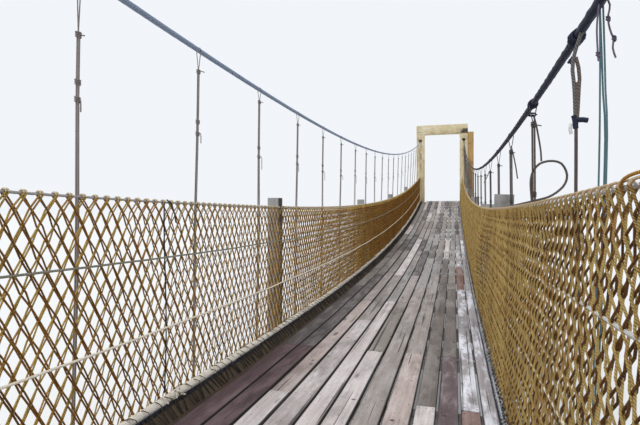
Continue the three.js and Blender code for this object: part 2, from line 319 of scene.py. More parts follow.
class Finish(NodeMaker):
    """A material under construction. A tone is a wire, three numbers or a property's name."""

    def __init__(self, name):
        self.material = bpy.data.materials.new(name)
        self.material.use_nodes = True
        super().__init__(self.material.node_tree)
        self.tree.nodes.clear()
        self.place = self.node("ShaderNodeTexCoord")["Object"]
        self.x, self.y, self.z = self.place.parts()

    def read(self, name, output="Fac"):
        """A number, colour or vector stored on the piece."""
        return self.node("ShaderNodeAttribute", attribute_name=name)[output]

    def section(self):
        """Where a point lies in the section that was swept along the path."""
        return self.read("section", "Vector").parts()[:2]

    cells = adds("ShaderNodeTexVoronoi", "Distance", "Vector", "Scale", feature="F1")

    def stretched(self, scale):
        return self.x * scale[0], self.y * scale[1], self.z * scale[2]

    def plies(self, count, lay):
        """A wave over the plies of a rope or the wires of a cable: 1 on their ridges."""
        x, y = self.section()
        turn = y.math("ARCTAN2", x) * (count / 2) + self.read("along") * (math.pi * count / lay)
        return abs(turn.math("SINE"))

    def mix(self, factor, low, high, blend="MIX"):
        sockets = {"Factor": factor}
        for socket, tone in (("A", low), ("B", high)):
            if isinstance(tone, str):
                tone = getattr(bpy.context.scene.footbridge_colours, tone)
            sockets[socket] = tone if isinstance(tone, Wire) else (*tone, 1)
        settings = {"data_type": "RGBA", "blend_type": blend, "clamp_factor": True}
        return self.node("ShaderNodeMix", sockets, **settings)["Result"]

    def tinted(self, tone, amount):
        """A colour made lighter or darker by a number."""
        return self.mix(1.0, tone, self.vector(amount, amount, amount), "MULTIPLY")

    def coats(self, surface, *coats):
        """A surface with tones over it, each where its own mask is high."""
        for mask, tone in coats:
            surface = self.mix(mask, surface, tone)
        return surface

    def finish(self, tone, roughness, height=None, depth=0.002, metallic=0.0, specular=0.35):
        sockets = {
            "Base Color": tone, "Roughness": roughness, "Metallic": metallic,
            "Specular IOR Level": specular,
        }
        if height is not None:
            bump = {"Height": height, "Distance": depth, "Strength": 1.0}
            sockets["Normal"] = self.node("ShaderNodeBump", bump)["Normal"]
        surface = self.node("ShaderNodeBsdfPrincipled", sockets)["BSDF"]
        self.node("ShaderNodeOutputMaterial", {"Surface": surface})
        return self.material


def label(name):
    """The name of a tree's input, as it shows in Blender."""
    return name.replace("_", " ").capitalize()


class Shape(NodeMaker):
    """A Geometry Nodes tree under construction, with named inputs for its sizes."""

    def __init__(self, name, **sizes):
        group = bpy.data.node_groups.new(name, "GeometryNodeTree")
        super().__init__(group)
        kinds = {int: "NodeSocketInt", float: "NodeSocketFloat"}
        new_socket = group.interface.new_socket
        new_socket("Seed", in_out="INPUT", socket_type="NodeSocketGeometry")
        for size, default in sizes.items():
            socket = new_socket(label(size), in_out="INPUT", socket_type=kinds[type(default)])
            socket.default_value = default
        new_socket("Finish", in_out="INPUT", socket_type="NodeSocketMaterial")
        new_socket("Shape", in_out="OUTPUT", socket_type="NodeSocketGeometry")
        inputs = self.node("NodeGroupInput")
        wires = {size: inputs[label(size)] for size in ("seed", *sizes, "finish")}
        self.given = SimpleNamespace(**wires)

    place = adds("GeometryNodeInputPosition", "Position")
    along = adds("GeometryNodeSplineParameter", "Length")
    random = adds("FunctionNodeRandomValue", "Value", "Seed", "Min", "Max", data_type="FLOAT")
    curve = adds("GeometryNodeMeshToCurve", "Curve", "Mesh")
    points = adds("GeometryNodeMeshToPoints", "Points", "Mesh")
    stepped = adds("GeometryNodeResampleCurve", "Curve", "Curve", "Length", mode="LENGTH")
    upright = adds("GeometryNodeSetCurveNormal", "Curve", "Curve", mode="Z_UP")
    tilted = adds("GeometryNodeSetCurveTilt", "Curve", "Curve", "Tilt")
    line = adds("GeometryNodeMeshLine", "Mesh", "Count", "Start Location", "Offset")
    ring = adds("GeometryNodeCurvePrimitiveCircle", "Curve", "Resolution", "Radius")
    arc = adds("GeometryNodeCurveArc", "Curve", "Resolution", "Radius", "Sweep Angle")
    box = adds("GeometryNodeCurvePrimitiveQuadrilateral", "Curve", "Width", "Height")
    eased = adds("GeometryNodeFilletCurve", "Curve", "Curve", "Radius", "Count", mode="POLY")
    ball = adds("GeometryNodeMeshUVSphere", "Mesh", "Segments", "Rings", "Radius")
    instances = adds("GeometryNodeInstanceOnPoints", "Instances", "Points", "Instance", "Rotation")
    realized = adds("GeometryNodeRealizeInstances", "Geometry", "Geometry")
    smooth = adds("GeometryNodeSetShadeSmooth", "Geometry", "Geometry")
    coated = adds("GeometryNodeSetMaterial", "Geometry", "Geometry", "Material")
    stored = adds("GeometryNodeInputNamedAttribute", "Attribute", "Name", data_type="FLOAT")

    def store(self, geometry, name, value, kind="FLOAT", domain="POINT"):
        sockets = {"Geometry": geometry, "Name": name, "Value": value}
        settings = {"data_type": kind, "domain": domain}
        return self.node("GeometryNodeStoreNamedAttribute", sockets, **settings)["Geometry"]

    def move(self, geometry, **where):
        return self.node("GeometryNodeSetPosition", {"Geometry": geometry, **where})["Geometry"]

    def path(self):
        """The seed's lines, with a point at every step."""
        return self.stepped(self.curve(self.given.seed), self.given.step)

    def sweep(self, path, profile):
        sockets = {"Curve": path, "Profile Curve": profile, "Fill Caps": True}
        return self.node("GeometryNodeCurveToMesh", sockets)["Mesh"]

    def join(self, *geometries):
        join = self.tree.nodes.new("GeometryNodeJoinGeometry")
        for geometry in geometries:
            self.tree.links.new(geometry.socket, join.inputs[0])
        return Wire(self, join.outputs[0])

    def round_profile(self, sides, radius):
        """A round section that carries where its points lie, for the twist of the plies."""
        x, y, _ = self.place().parts()
        section = (x / radius, y / radius, 0.0)
        return self.store(self.ring(sides, radius), "section", section, "FLOAT_VECTOR")

    def strand(self, path, sides, radius):
        """A round cord along a path, with its length stored for the twist of the plies."""
        path = self.store(path, "along", self.along())
        return self.sweep(path, self.round_profile(sides, radius))

    def drift(self, scale, detail, roughness, amount):
        """A smooth random offset."""
        noise = self.noise(self.place(), detail, roughness, scale, "Color")
        values = {0: noise, 1: (0.5, 0.5, 0.5)}
        around = self.node("ShaderNodeVectorMath", values, operation="SUBTRACT")["Vector"]
        values = {0: around, "Scale": amount}
        return self.node("ShaderNodeVectorMath", values, operation="SCALE")["Vector"]

    def over_deck(self, x, y, lift):
        """A place over the sagging deck, on the side that the tree's side input names."""
        return self.vector(x, y * self.given.side, x * x * DECK_RATE + DECK_LOW + lift)

    def end(self, geometry):
        """Closes the tree with Realize Instances and Set Material."""
        smooth = self.smooth(self.realized(geometry))
        self.node("NodeGroupOutput", {"Shape": self.coated(smooth, self.given.finish)})
        return self.tree


# Shapes that follow a path or stand on points


@cache
def cord_shape():
    """A cable, rope or pole along each line, with the lobes of its strands twisted round it."""
    tree = Shape(
        "Cord", radius=0.01, sides=8, step=0.1, strands=3.0, groove=0.0, lay=0.2, wander=0.0,
        tone=0.6,
    )
    given = tree.given
    path = tree.move(tree.path(), Offset=tree.drift(2.5, 2, 0.5, given.wander))
    path = tree.store(tree.store(path, "along", tree.along()), "tone", given.tone)
    # A round section has no need of a twist
    path = tree.tilted(path, tree.along() * (2 * math.pi) / given.lay * given.groove.math("SIGN"))
    profile = tree.round_profile(given.sides, given.radius)
    x, y, _ = tree.place().parts()
    lobes = (y.math("ARCTAN2", x) * given.strands).math("COSINE")
    depth = 1 - given.groove * (0.5 - 0.5 * lobes)
    return tree.end(tree.sweep(path, tree.move(profile, Position=(x * depth, y * depth, 0.0))))


@cache
def timber_shape():
    """A sawn timber along each line, upright in its section, with eased and worn edges."""
    tree = Shape("Timber", width=0.1, height=0.1, corner=0.006, step=0.2, wear=0.003, lean=0.0)
    given = tree.given
    path = tree.tilted(tree.upright(tree.path()), given.lean)
    profile = tree.eased(tree.box(given.width, given.height), given.corner, 2)
    x, y, _ = tree.place().parts()
    section = (x / given.width, y / given.height * -1, 0.0)
    solid = tree.sweep(path, tree.store(profile, "section", section, "FLOAT_VECTOR"))
    return tree.end(tree.move(solid, Offset=tree.drift(7.0, 3, 0.6, given.wear * 2)))


@cache
def net_shape():
    """Strands of one slant, each of two twines, in front of or behind those of the other slant."""
    tree = Shape(
        "Net", strands=10, levels=20, start=0.0, cell=0.066, slant=1.0, radius=0.0028, sides=4,
        spread=0.003, front=0.002, weave=0.004, slack=0.006, end=16.8, side=1.0, upper_y=0.9,
        lower_y=0.8, upper_lift=1.0, lower_lift=0.0, hold=0.012, twist=0.0, middle=0.0, half=1.0,
        depth=0.0,
    )
    given = tree.given
    apexes = tree.line(given.strands, (given.start, 0.0, 0.0), (given.cell, 0.0, 0.0))
    twine = tree.curve(tree.line(given.levels + 1, (0, 0, 0), (0, 0, 1)))
    twines = tree.join(*(tree.store(twine, "twin", twin) for twin in (-1.0, 1.0)))
    copies = tree.instances(apexes, twines)
    path = tree.realized(tree.store(copies, "tone", tree.random(SEED), domain="INSTANCE"))

    # Along the bridge: from the hitch down the slant, with some slack, parting here and there
    apex_x, _, level = tree.place().parts()
    twin = tree.stored("twin")
    share = 1 - level / given.levels
    at_apex = (1 - level).math("MAXIMUM", 0.0)
    held = abs(share * (1 - share) * 4) ** 0.5
    wobble = tree.noise((apex_x * 2.1, given.slant * 3, share * 2.5), 2, 0.5, 1.6) - 0.5
    steps = level - given.twist * (1 - at_apex * 0.75)
    x = apex_x + given.slant * steps * given.cell * 0.5 + wobble * held * given.slack * 2
    gape = tree.noise((apex_x * 9.1, given.slant * 7, level * 0.9), 1, 0.5).between(0.3, 0.7)
    x = x + twin * given.spread * (0.3 + gape * 1.4)
    x = x.math("MINIMUM", given.end).math("MAXIMUM", given.end * -1)

    # Across the bridge: woven over and under, and bulging where the panel hangs slack
    weave = twin * given.slant * (level * math.pi).math("COSINE") * (0.6 + gape * 0.8) * given.weave
    inward = (given.front + weave) * (1 - at_apex) - given.slant * at_apex * given.hold
    slack = (1 - abs(x - given.middle) / given.half).between(0.0, 0.8)
    inward = inward + slack * given.depth * (share * math.pi).math("SINE")
    belly = (tree.noise((x, 0.0, share * 0.8), 1, 0.4, 0.9) - 0.5) * held * given.slack * 2
    y = given.lower_y + share * (given.upper_y - given.lower_y) - inward + belly
    lift = given.lower_lift + share * (given.upper_lift - given.lower_lift)
    path = tree.move(path, Position=tree.over_deck(x, y, lift))
    return tree.end(tree.strand(path, given.sides, given.radius))


@cache
def hitch_shape():
    """Two turns of twine over the handrail at every top of the net, painted lit on the inner leg
    and shaded on the outer.
    """
    tree = Shape(
        "Hitch", strands=10, start=0.0, cell=0.066, radius=0.0028, hold=0.012, spread=0.0075,
        side=1.0, upper_y=0.9, upper_lift=1.0, skew=0.0,
    )
    given = tree.given
    starts = [(given.start + given.spread * twin, 0.0, 0.0) for twin in (-1, 1)]
    rows = [tree.line(given.strands, start, (given.cell, 0.0, 0.0)) for start in starts]
    x, _, _ = tree.place().parts()
    where = tree.over_deck(x, given.upper_y, given.upper_lift)
    points = tree.move(tree.points(tree.join(*rows)), Position=where)
    x, y, _ = tree.place().parts()
    # Painted light: the inner leg of each turn is lit, the outer leg in shade
    painted_lit_side = 0.5 - x / given.hold * given.side * 0.5
    arc = tree.store(tree.arc(5, given.hold, math.pi), "tone", painted_lit_side)
    arc = tree.move(arc, Position=(x, y, x / given.hold * given.skew))
    turn = tree.strand(arc, 4, given.radius)
    return tree.end(tree.instances(points, turn, (math.pi / 2, 0, math.pi / 2)))


@cache
def lashing_shape():
    """A turn of cord round each point, across the bridge, each a little askew."""
    tree = Shape("Lashing", width=0.04, height=0.03, radius=0.003, askew=0.3)
    given = tree.given
    x, y, _ = tree.place().parts()
    ring = tree.move(tree.ring(8, 1.0), Position=(0.0, x * given.width, y * given.height))
    turn = tree.strand(ring, 3, given.radius)
    angle = tree.random(SEED, given.askew * -1, given.askew)
    copies = tree.instances(tree.points(given.seed), turn, (0.0, angle * 0.4, angle))
    return tree.end(tree.store(copies, "tone", tree.random(SEED + 1), domain="INSTANCE"))


@cache
def knot_shape():
    """A coil of wire wound round each point, with its axis upright."""
    tree = Shape("Knot", radius=0.014, wire=0.004, turns=4.0, height=0.04)
    given = tree.given
    coil = {
        "Resolution": 7, "Rotations": given.turns, "Start Radius": given.radius,
        "End Radius": given.radius, "Height": given.height,
    }
    path = tree.node("GeometryNodeCurveSpiral", coil)["Curve"]
    return tree.end(tree.instances(tree.points(given.seed), tree.strand(path, 4, given.wire)))


@cache
def nail_shape():
    """A low domed head on each point."""
    tree = Shape("Nail", diameter=0.007)
    x, y, z = tree.place().parts()
    head = tree.move(tree.ball(6, 3, tree.given.diameter / 2), Position=(x, y, z * 0.35))
    return tree.end(tree.instances(tree.points(tree.given.seed), head))


# Finishes


def wood_finish(name, tone, grain=(1.2, 30, 30), streak=0.5, cracks=0.6, stain=(0.05, 0.04, 0.03)):
    """Weathered timber: stretched grain, open cracks, broad stains and dirty edges."""
    look = Finish(name)
    x, y, z = look.stretched(grain)
    grain = look.noise((x, y, z), 6, 0.68)
    pores = look.noise((x * 2.5, y * 3.1, z * 3.1), 3, 0.6)
    split = look.noise((x * 0.55, y * 1.4, z * 1.4), 2, 0.4).between(0.63, 0.72)
    cloud = look.noise(look.place, 4, 0.6, 2.6)
    across, up = look.section()
    edge = abs(across).math("MAXIMUM", abs(up)).between(0.43, 0.5)
    surface = look.coats(
        look.tinted(tone, 1 - streak * 0.5 + grain * streak + pores * 0.25 - 0.12),
        (cloud.between(0.52, 0.75) * 0.55, stain),
        (split * cracks, (0.03, 0.025, 0.02)),
        (edge * 0.35 * cloud, stain),
    )
    height = grain * 0.6 + pores * 0.3 - split * cracks
    return look.finish(surface, 0.72 + grain * 0.2, height, 0.004)


def portal_finish(name, tone, grain):
    """Yellowed timber, with rain marks under the cable holes and a dark patch on the lintel's lower
    right end.
    """
    look = Finish(name)
    x, y, z = look.stretched(grain)
    grain = look.noise((x, y, z), 6, 0.68)
    cloud = look.noise(look.place, 5, 0.62, 2.2)
    blot = look.noise((look.x, look.y * 1.7, look.z * 0.8), 4, 0.6, 5.0)
    split = look.noise((x * 0.55, y * 1.4, z * 1.4), 2, 0.4).between(0.64, 0.72)
    run = 1 - abs(abs(look.y) - POST_Y).between(0.0, 0.09)
    run = run * (1 - look.z.between(CABLE_AT_POST - 0.06, CABLE_AT_POST)) * look.z.between(2.4, 4.4)
    # Darker on the lintel's lower right end, over the right post
    dark_end_patch = look.z.between(4.78, 4.88) * (look.y * -1).between(0.68, 0.80)
    dark_end_patch = dark_end_patch * (1 - look.z.between(4.99, 5.06))
    foot = 1 - look.z.between(0.1, 1.6)
    surface = look.coats(
        look.tinted(tone, 0.68 + grain * 0.62),
        (cloud.between(0.5, 0.72) * 0.5, (0.24, 0.16, 0.07)),
        ((1 - cloud).between(0.5, 0.68) * 0.6, (0.80, 0.76, 0.64)),
        (run * blot.between(0.35, 0.6) * 0.75, (0.06, 0.045, 0.03)),
        (dark_end_patch * blot.between(0.2, 0.5) * 0.95, (0.035, 0.03, 0.025)),
        (foot * cloud * 0.8, (0.16, 0.14, 0.08)),
        (split * 0.6, (0.05, 0.035, 0.02)),
    )
    return look.finish(surface, 0.72 + grain * 0.2, grain * 0.7 - split * 0.8, 0.004)


def board_finish(name):
    """Boards walked on for years: each with its own tint, grain, worn patches, stains and holes,
    and painted shade at its edges and underside.
    """
    look = Finish(name)
    tint = look.read("tint", "Color")
    shift = look.read("shift")
    x, y = look.x + shift, look.y + shift * 0.37
    bend = look.noise((x * 0.8, y * 3, shift), 2, 0.5) * 0.05
    grain = look.noise((x * 1.4, (y + bend) * 46, look.z * 20), 8, 0.74)
    fibre = look.noise((x * 6, y * 190, look.z * 30), 3, 0.65)
    split = look.noise((x * 0.8, y * 60, shift), 2, 0.45).between(0.655, 0.72)
    spot = 1 - look.cells((x, y, shift), 6.5).between(0.045, 0.10)
    knot = 1 - look.cells((x * 1.5, y * 6, shift), 1.0).between(0.04, 0.13)
    patch = look.noise((x * 2.0, y * 7, shift), 7, 0.7)
    damp = look.noise((x * 1.3, y * 4, shift + 9), 6, 0.68).between(0.50, 0.66)
    speck = look.noise((x * 40, y * 60, shift), 3, 0.7).between(0.60, 0.72)
    across, up = look.section()
    # Painted shade: darker near the board's sides, so the gaps between boards read dark
    edge = (abs(across) + (patch - 0.5) * 0.06).between(0.445, 0.49)
    # Painted shade on the lower part of the sides and on the underside
    under = 1 - up.between(-0.2, 0.45)
    worn = look.tinted(look.read("worn", "Color"), 0.52 + grain * 0.56 + fibre * 0.46)
    surface = look.coats(
        look.tinted(tint, 0.22 + grain * 1.15 + fibre * 0.46),
        (patch.between(0.44, 0.60) * look.read("amount"), worn),
        (damp * 0.55, look.tinted(tint, 0.38)),
        (speck * 0.6, (0.07, 0.055, 0.05)),
        (knot * 0.75, (0.06, 0.042, 0.035)),
        (spot * 0.8, (0.035, 0.028, 0.026)),
        (split * 0.8, (0.025, 0.022, 0.02)),
        (edge * 0.85, (0.03, 0.026, 0.024)),
        (under * 0.75, (0.055, 0.045, 0.038)),
    )
    height = grain * 0.75 + fibre * 0.25 - split - knot * 0.3 - spot * 0.6
    return look.finish(surface, 0.68 + grain * 0.2, height, 0.004)


def rope_finish(name, light, dark, plies=2, lay=0.014, sway=0.35, stain=None, relief=0.0018):
    """Twisted rope: painted highlights on the ridges of its plies, painted shade in the grooves,
    with stains.
    """
    look = Finish(name)
    ridge = look.plies(plies, lay)
    fibre = look.noise(look.stretched((140, 140, 60)), 2, 0.6)
    patch = look.noise(look.place, 4, 0.6, 4.5)
    # lit mixes painted highlights on the ply ridges and painted shade in the grooves with random
    # patches and the stored tone
    lit = ridge * 0.4 + patch * 0.6 + look.read("tone") * sway - 0.18
    surface = look.mix(lit.between(0.1, 0.75), dark, light)
    if stain:
        blot = look.noise(look.place, 5, 0.7, 7.0).between(0.48, 0.66)
        surface = look.mix(blot * 0.7, surface, look.tinted(stain, 0.6 + ridge * 0.6))
    surface = look.tinted(surface, 0.72 + fibre * 0.5)
    return look.finish(surface, 0.82, ridge + fibre * 0.35, relief, specular=0.25)


def cable_finish(name, tone, rust=0.35, metallic=0.45, wires=9, lay=0.08, bloom=0.35):
    """Wire rope: fine wires with painted highlights on them and painted shade in the grooves, and
    patches of rust and bloom.
    """
    look = Finish(name)
    wire = look.plies(wires, lay)
    patch = look.noise(look.place, 5, 0.65, 5.0)
    fine = look.noise(look.place, 3, 0.6, 90.0)
    surface = look.coats(
        # Painted highlights on the wires and painted shade in the grooves between them
        look.tinted(tone, 0.5 + wire * 0.65 + fine * 0.5),
        (patch.between(0.55, 0.72) * rust, (0.20, 0.10, 0.05)),
        ((1 - patch).between(0.58, 0.75) * bloom, (0.35, 0.36, 0.38)),
    )
    return look.finish(surface, 0.5 + fine * 0.3, wire * 0.7 + fine * 0.4, 0.001, metallic)


def concrete_finish(name, tone):
    """Cast concrete: sand, pits, damp at the foot and pale efflorescence."""
    look = Finish(name)
    sand = look.noise(look.place, 4, 0.7, 120.0)
    cloud = look.noise(look.place, 6, 0.62, 3.2)
    pit = 1 - look.cells(look.place, 34.0).between(0.06, 0.16)
    surface = look.coats(
        look.tinted(tone, 0.62 + sand * 0.4 + cloud * 0.4),
        (pit * 0.7, (0.09, 0.08, 0.07)),
        ((1 - look.z.between(0.0, 0.3)) * 0.55 * cloud, (0.10, 0.10, 0.06)),
    )
    return look.finish(surface, 0.9, sand * 0.4 + cloud * 0.4 - pit, 0.005)


def floor_finish(name, tone):
    look = Finish(name)
    speck = look.noise(look.place, 3, 0.5, 6.0)
    return look.finish(look.tinted(tone, 0.97 + speck * 0.06), 0.85)


def recipes(make):
    """A function that notes the settings of a finish, which is made when first asked for."""
    return lambda *words, **settings: lambda name: make(name, *words, **settings)


wood, cable, rope = (recipes(make) for make in (wood_finish, cable_finish, rope_finish))
UPRIGHT = (18, 18, 1.6)
TALL = (22, 22, 1.2)
LENGTHWISE = (1.5, 25, 25)
HANDRAIL_WIRES = {"rust": 0.3, "metallic": 0.1, "wires": 7, "lay": 0.05}
# Finishes by material slot. The floor and the anchor blocks, which are no pieces, have no slot here
FINISHES = {
    None: {
        "Studio floor": recipes(floor_finish)("floor"),
        "Cast concrete": recipes(concrete_finish)("concrete"),
    },
    "portal_timber": {
        "Portal timber": recipes(portal_finish)("portal", TALL),
        "Lintel timber": recipes(portal_finish)("portal", (22, 1.2, 22)),
    },
    "dark_timber": {
        "Outer timber": wood("outer_post", TALL, 0.9, stain=(0.05, 0.03, 0.02)),
        # A near-black filler: painted shade inside the cable holes
        "Tarred packing": wood((0.018, 0.015, 0.014)),
    },
    "deck_boards": {"Walked boards": board_finish},
    "weathered_timber": {
        "Grey wood": wood("grey_wood", UPRIGHT),
        "Bearer wood": wood("grey_wood", (18, 1.4, 18)),
        # Near black: painted shade of a post's inner face
        "Dark batten": wood((0.06, 0.05, 0.05), UPRIGHT),
        # Tan timber darkened with painted shade
        "Kerb board": wood((0.095, 0.066, 0.038), (2.0, 20, 34), 1.1, 0.9, (0.02, 0.015, 0.012)),
    },
    "rail_pole": {
        "Peeled pole": wood("pole", LENGTHWISE, 0.25, 0.3, (0.40, 0.33, 0.24)),
        "Dull pole": wood((0.30, 0.26, 0.22), LENGTHWISE, 0.4, 0.4, (0.10, 0.08, 0.06)),
    },
    "steel_cable": {
        "Rusty iron": cable((0.08, 0.05, 0.035), 0.8),
        "Pale cable": cable("pale_cable", 0.05, 0.15, wires=12, lay=0.2),
        "Black cable": cable("cable", 0.0, 0.2, bloom=0.06),
        "Hanger wire": cable("hanger", 0.22, 0.1),
        "Dark hanger wire": cable((0.085, 0.072, 0.066), 0.22, 0.1, bloom=0.15),
        "Handrail wire, left": cable("handrail", **HANDRAIL_WIRES),
        "Handrail wire, right": cable((0.55, 0.54, 0.54), **HANDRAIL_WIRES),
        "Brown fibre": rope((0.185, 0.15, 0.13), (0.095, 0.075, 0.065), 3, 0.03),
        "Violet-brown fibre": rope((0.14, 0.105, 0.095), (0.06, 0.045, 0.04), 3, 0.02),
        "Grey fibre": rope((0.18, 0.17, 0.165), (0.07, 0.063, 0.06), 3, 0.03),
    },
    "net_rope": {
        # Lit and shaded twines are one twine of the right net, painted lit and painted in shade
        "Lit twine": rope("lit", (0.15, 0.085, 0.025), stain=(0.34, 0.17, 0.045)),
        "Shaded twine": rope("shaded", (0.045, 0.018, 0.006), stain=(0.27, 0.155, 0.045)),
        # The golden and rust-brown twines are one twine of the left net, painted lit and painted in
        # shade
        "Golden twine": rope((0.62, 0.42, 0.115), (0.20, 0.11, 0.03), stain=(0.46, 0.21, 0.04)),
        "Rusty twine": rope((0.33, 0.15, 0.028), (0.09, 0.035, 0.008), stain=(0.36, 0.20, 0.05)),
        # The hitch twines follow the stored tone: painted light on the inner leg, painted shade on
        # the outer; the right ones are darker
        "Hitched twine": rope((0.66, 0.54, 0.36), (0.10, 0.045, 0.016), sway=1.1),
        "Soiled twine": rope((0.56, 0.41, 0.25), (0.06, 0.028, 0.012), sway=1.1),
        "Lashing rope": rope((0.15, 0.115, 0.085), (0.022, 0.017, 0.015)),
        "Black cord": rope((0.05, 0.04, 0.035), (0.012, 0.010, 0.009)),
        "Bleached netting": rope((0.66, 0.64, 0.62), (0.22, 0.20, 0.19), 2, 0.02),
        "Blue-green rope": rope((0.15, 0.27, 0.30), (0.05, 0.10, 0.12), 3, 0.02),
        "White tape": rope((0.75, 0.74, 0.72), (0.45, 0.44, 0.43), 1, 0.2),
        "Faded violet rope": rope((0.24, 0.20, 0.28), (0.06, 0.05, 0.075), 3, 0.02),
        "Orange rope": rope((0.58, 0.30, 0.06), (0.30, 0.13, 0.03), 3, 0.02),
        "Grey-green rope": rope((0.33, 0.31, 0.24), (0.17, 0.155, 0.115), 3, 0.03),
        "Cream rope": rope((0.95, 0.88, 0.74), (0.85, 0.75, 0.58), 3, 0.03, relief=0.0004),
        "Whitish rope": rope((0.82, 0.77, 0.66), (0.45, 0.40, 0.32), 3, 0.03, relief=0.0008),
        "Worn rope": rope((0.66, 0.66, 0.64), (0.32, 0.31, 0.30), 3, 0.03, relief=0.0008),
    },
}


@cache
def finish_and_slot(name):
    slot = next(slot for slot, group in FINISHES.items() if name in group)
    return FINISHES[slot][name](name), slot


# Pieces


def seed_mesh(paths, looks):
    """A mesh of open lines that a tree grows its shapes on. Each look has one value for a line."""
    mesh = bpy.data.meshes.new("seed")
    points, edges = [], []
    for path in paths:
        edges += [(i, i + 1) for i in range(len(points), len(points) + len(path) - 1)]
        points += [tuple(point) for point in path]
    mesh.from_pydata(points, edges, [])
    for name, values in looks.items():
        single = isinstance(values[0], float)
        layer = mesh.attributes.new(name, "FLOAT" if single else "FLOAT_VECTOR", "POINT")
        for item, value in zip(layer.data, [v for v, path in zip(values, paths) for _ in path]):
            setattr(item, "value" if single else "vector", value)
    return mesh


def grow(name, shape, paths, finish, replaced=(), crease=None, looks=None, **sizes):
    """Runs a tree on lines and keeps the result as a plain piece that rides on the bridge."""
    tree = shape()
    material, slot = finish_and_slot(finish) if finish else (None, None)
    base = linked(name + "_seed", seed_mesh(paths, looks or {}))
    modifier = base.modifiers.new("Shape", "NODES")
    modifier.node_group = tree
    items = [item for item in tree.interface.items_tree if item.in_out == "INPUT"]
    inputs = {item.name: item.identifier for item in items}
    modifier[inputs["Finish"]] = material
    for size, value in sizes.items():
        modifier[inputs[label(size)]] = value
    grown = evaluated(base)
    bpy.data.objects.remove(base)
    if not grown.polygons:
        raise RuntimeError(f"{name} came out empty")
    if crease:
        grown.set_sharp_from_angle(angle=math.radians(crease))
    piece = linked(name, grown)
    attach(piece, BODY)
    if replaced:
        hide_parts(*replaced)
    return piece


def cord(name, paths, finish, radius, sides, step, replaced=(), crease=None, **sizes):
    sizes |= {"radius": radius, "sides": sides, "step": step}
    return grow(name, cord_shape, paths, finish, replaced, crease, **sizes)


def timber(name, paths, finish, replaced=(), looks=None, **sizes):
    return grow(name, timber_shape, paths, finish, replaced, CREASE, looks, **sizes)


# Operators, one for each group of like pieces


class FOOTBRIDGE_OT_stage(bpy.types.Operator):
    """Floor, soft light and the camera on the deck"""

    bl_idname = "footbridge.stage"
    bl_label = "Stage"

    eye = (-3.44, -0.48)
    eye_above_deck = 0.935
    turned_left = 15.6
    focal_length = 27.0
    sensor_width = 36.0
    clip_range = (0.02, 600)
    half_floor = 250
    sky_tone = (0.93, 0.96, 1.0, 1)
    sky_strength = 0.95
    sun_energy = 1.1
    sun_width = 30
    sun_turns = (-28, -24)

    def execute(self, context):
        scene = context.scene
        camera = linked("Camera", bpy.data.cameras.new("Camera"))
        x, y = self.eye
        camera.location = (x, y, deck(x) + self.eye_above_deck)
        camera.rotation_euler = (math.pi / 2, 0, math.radians(self.turned_left) - math.pi / 2)
        camera.data.lens = self.focal_length
        camera.data.sensor_width = self.sensor_width
        camera.data.clip_start, camera.data.clip_end = self.clip_range
        scene.camera = camera
        scene.view_settings.view_transform = "Standard"

        mesh = bpy.data.meshes.new("studio_floor")
        signs = ((-1, -1), (1, -1), (1, 1), (-1, 1))
        corners = [(x * self.half_floor, y * self.half_floor, 0) for x, y in signs]
        mesh.from_pydata(corners, [], [(0, 1, 2, 3)])
        mesh.materials.append(finish_and_slot("Studio floor")[0])
        linked("studio_floor", mesh)

        world = bpy.data.worlds.new("Studio")
        world.use_nodes = True
        sky = world.node_tree.nodes["Background"]
        sky.inputs["Color"].default_value = self.sky_tone
        sky.inputs["Strength"].default_value = self.sky_strength
        scene.world = world
        sun = linked("Soft sun", bpy.data.lights.new("Soft sun", "SUN"))
        sun.data.energy = self.sun_energy
        sun.data.angle = math.radians(self.sun_width)
        sun.rotation_euler = (*(math.radians(turn) for turn in self.sun_turns), 0)
        return {"FINISHED"}


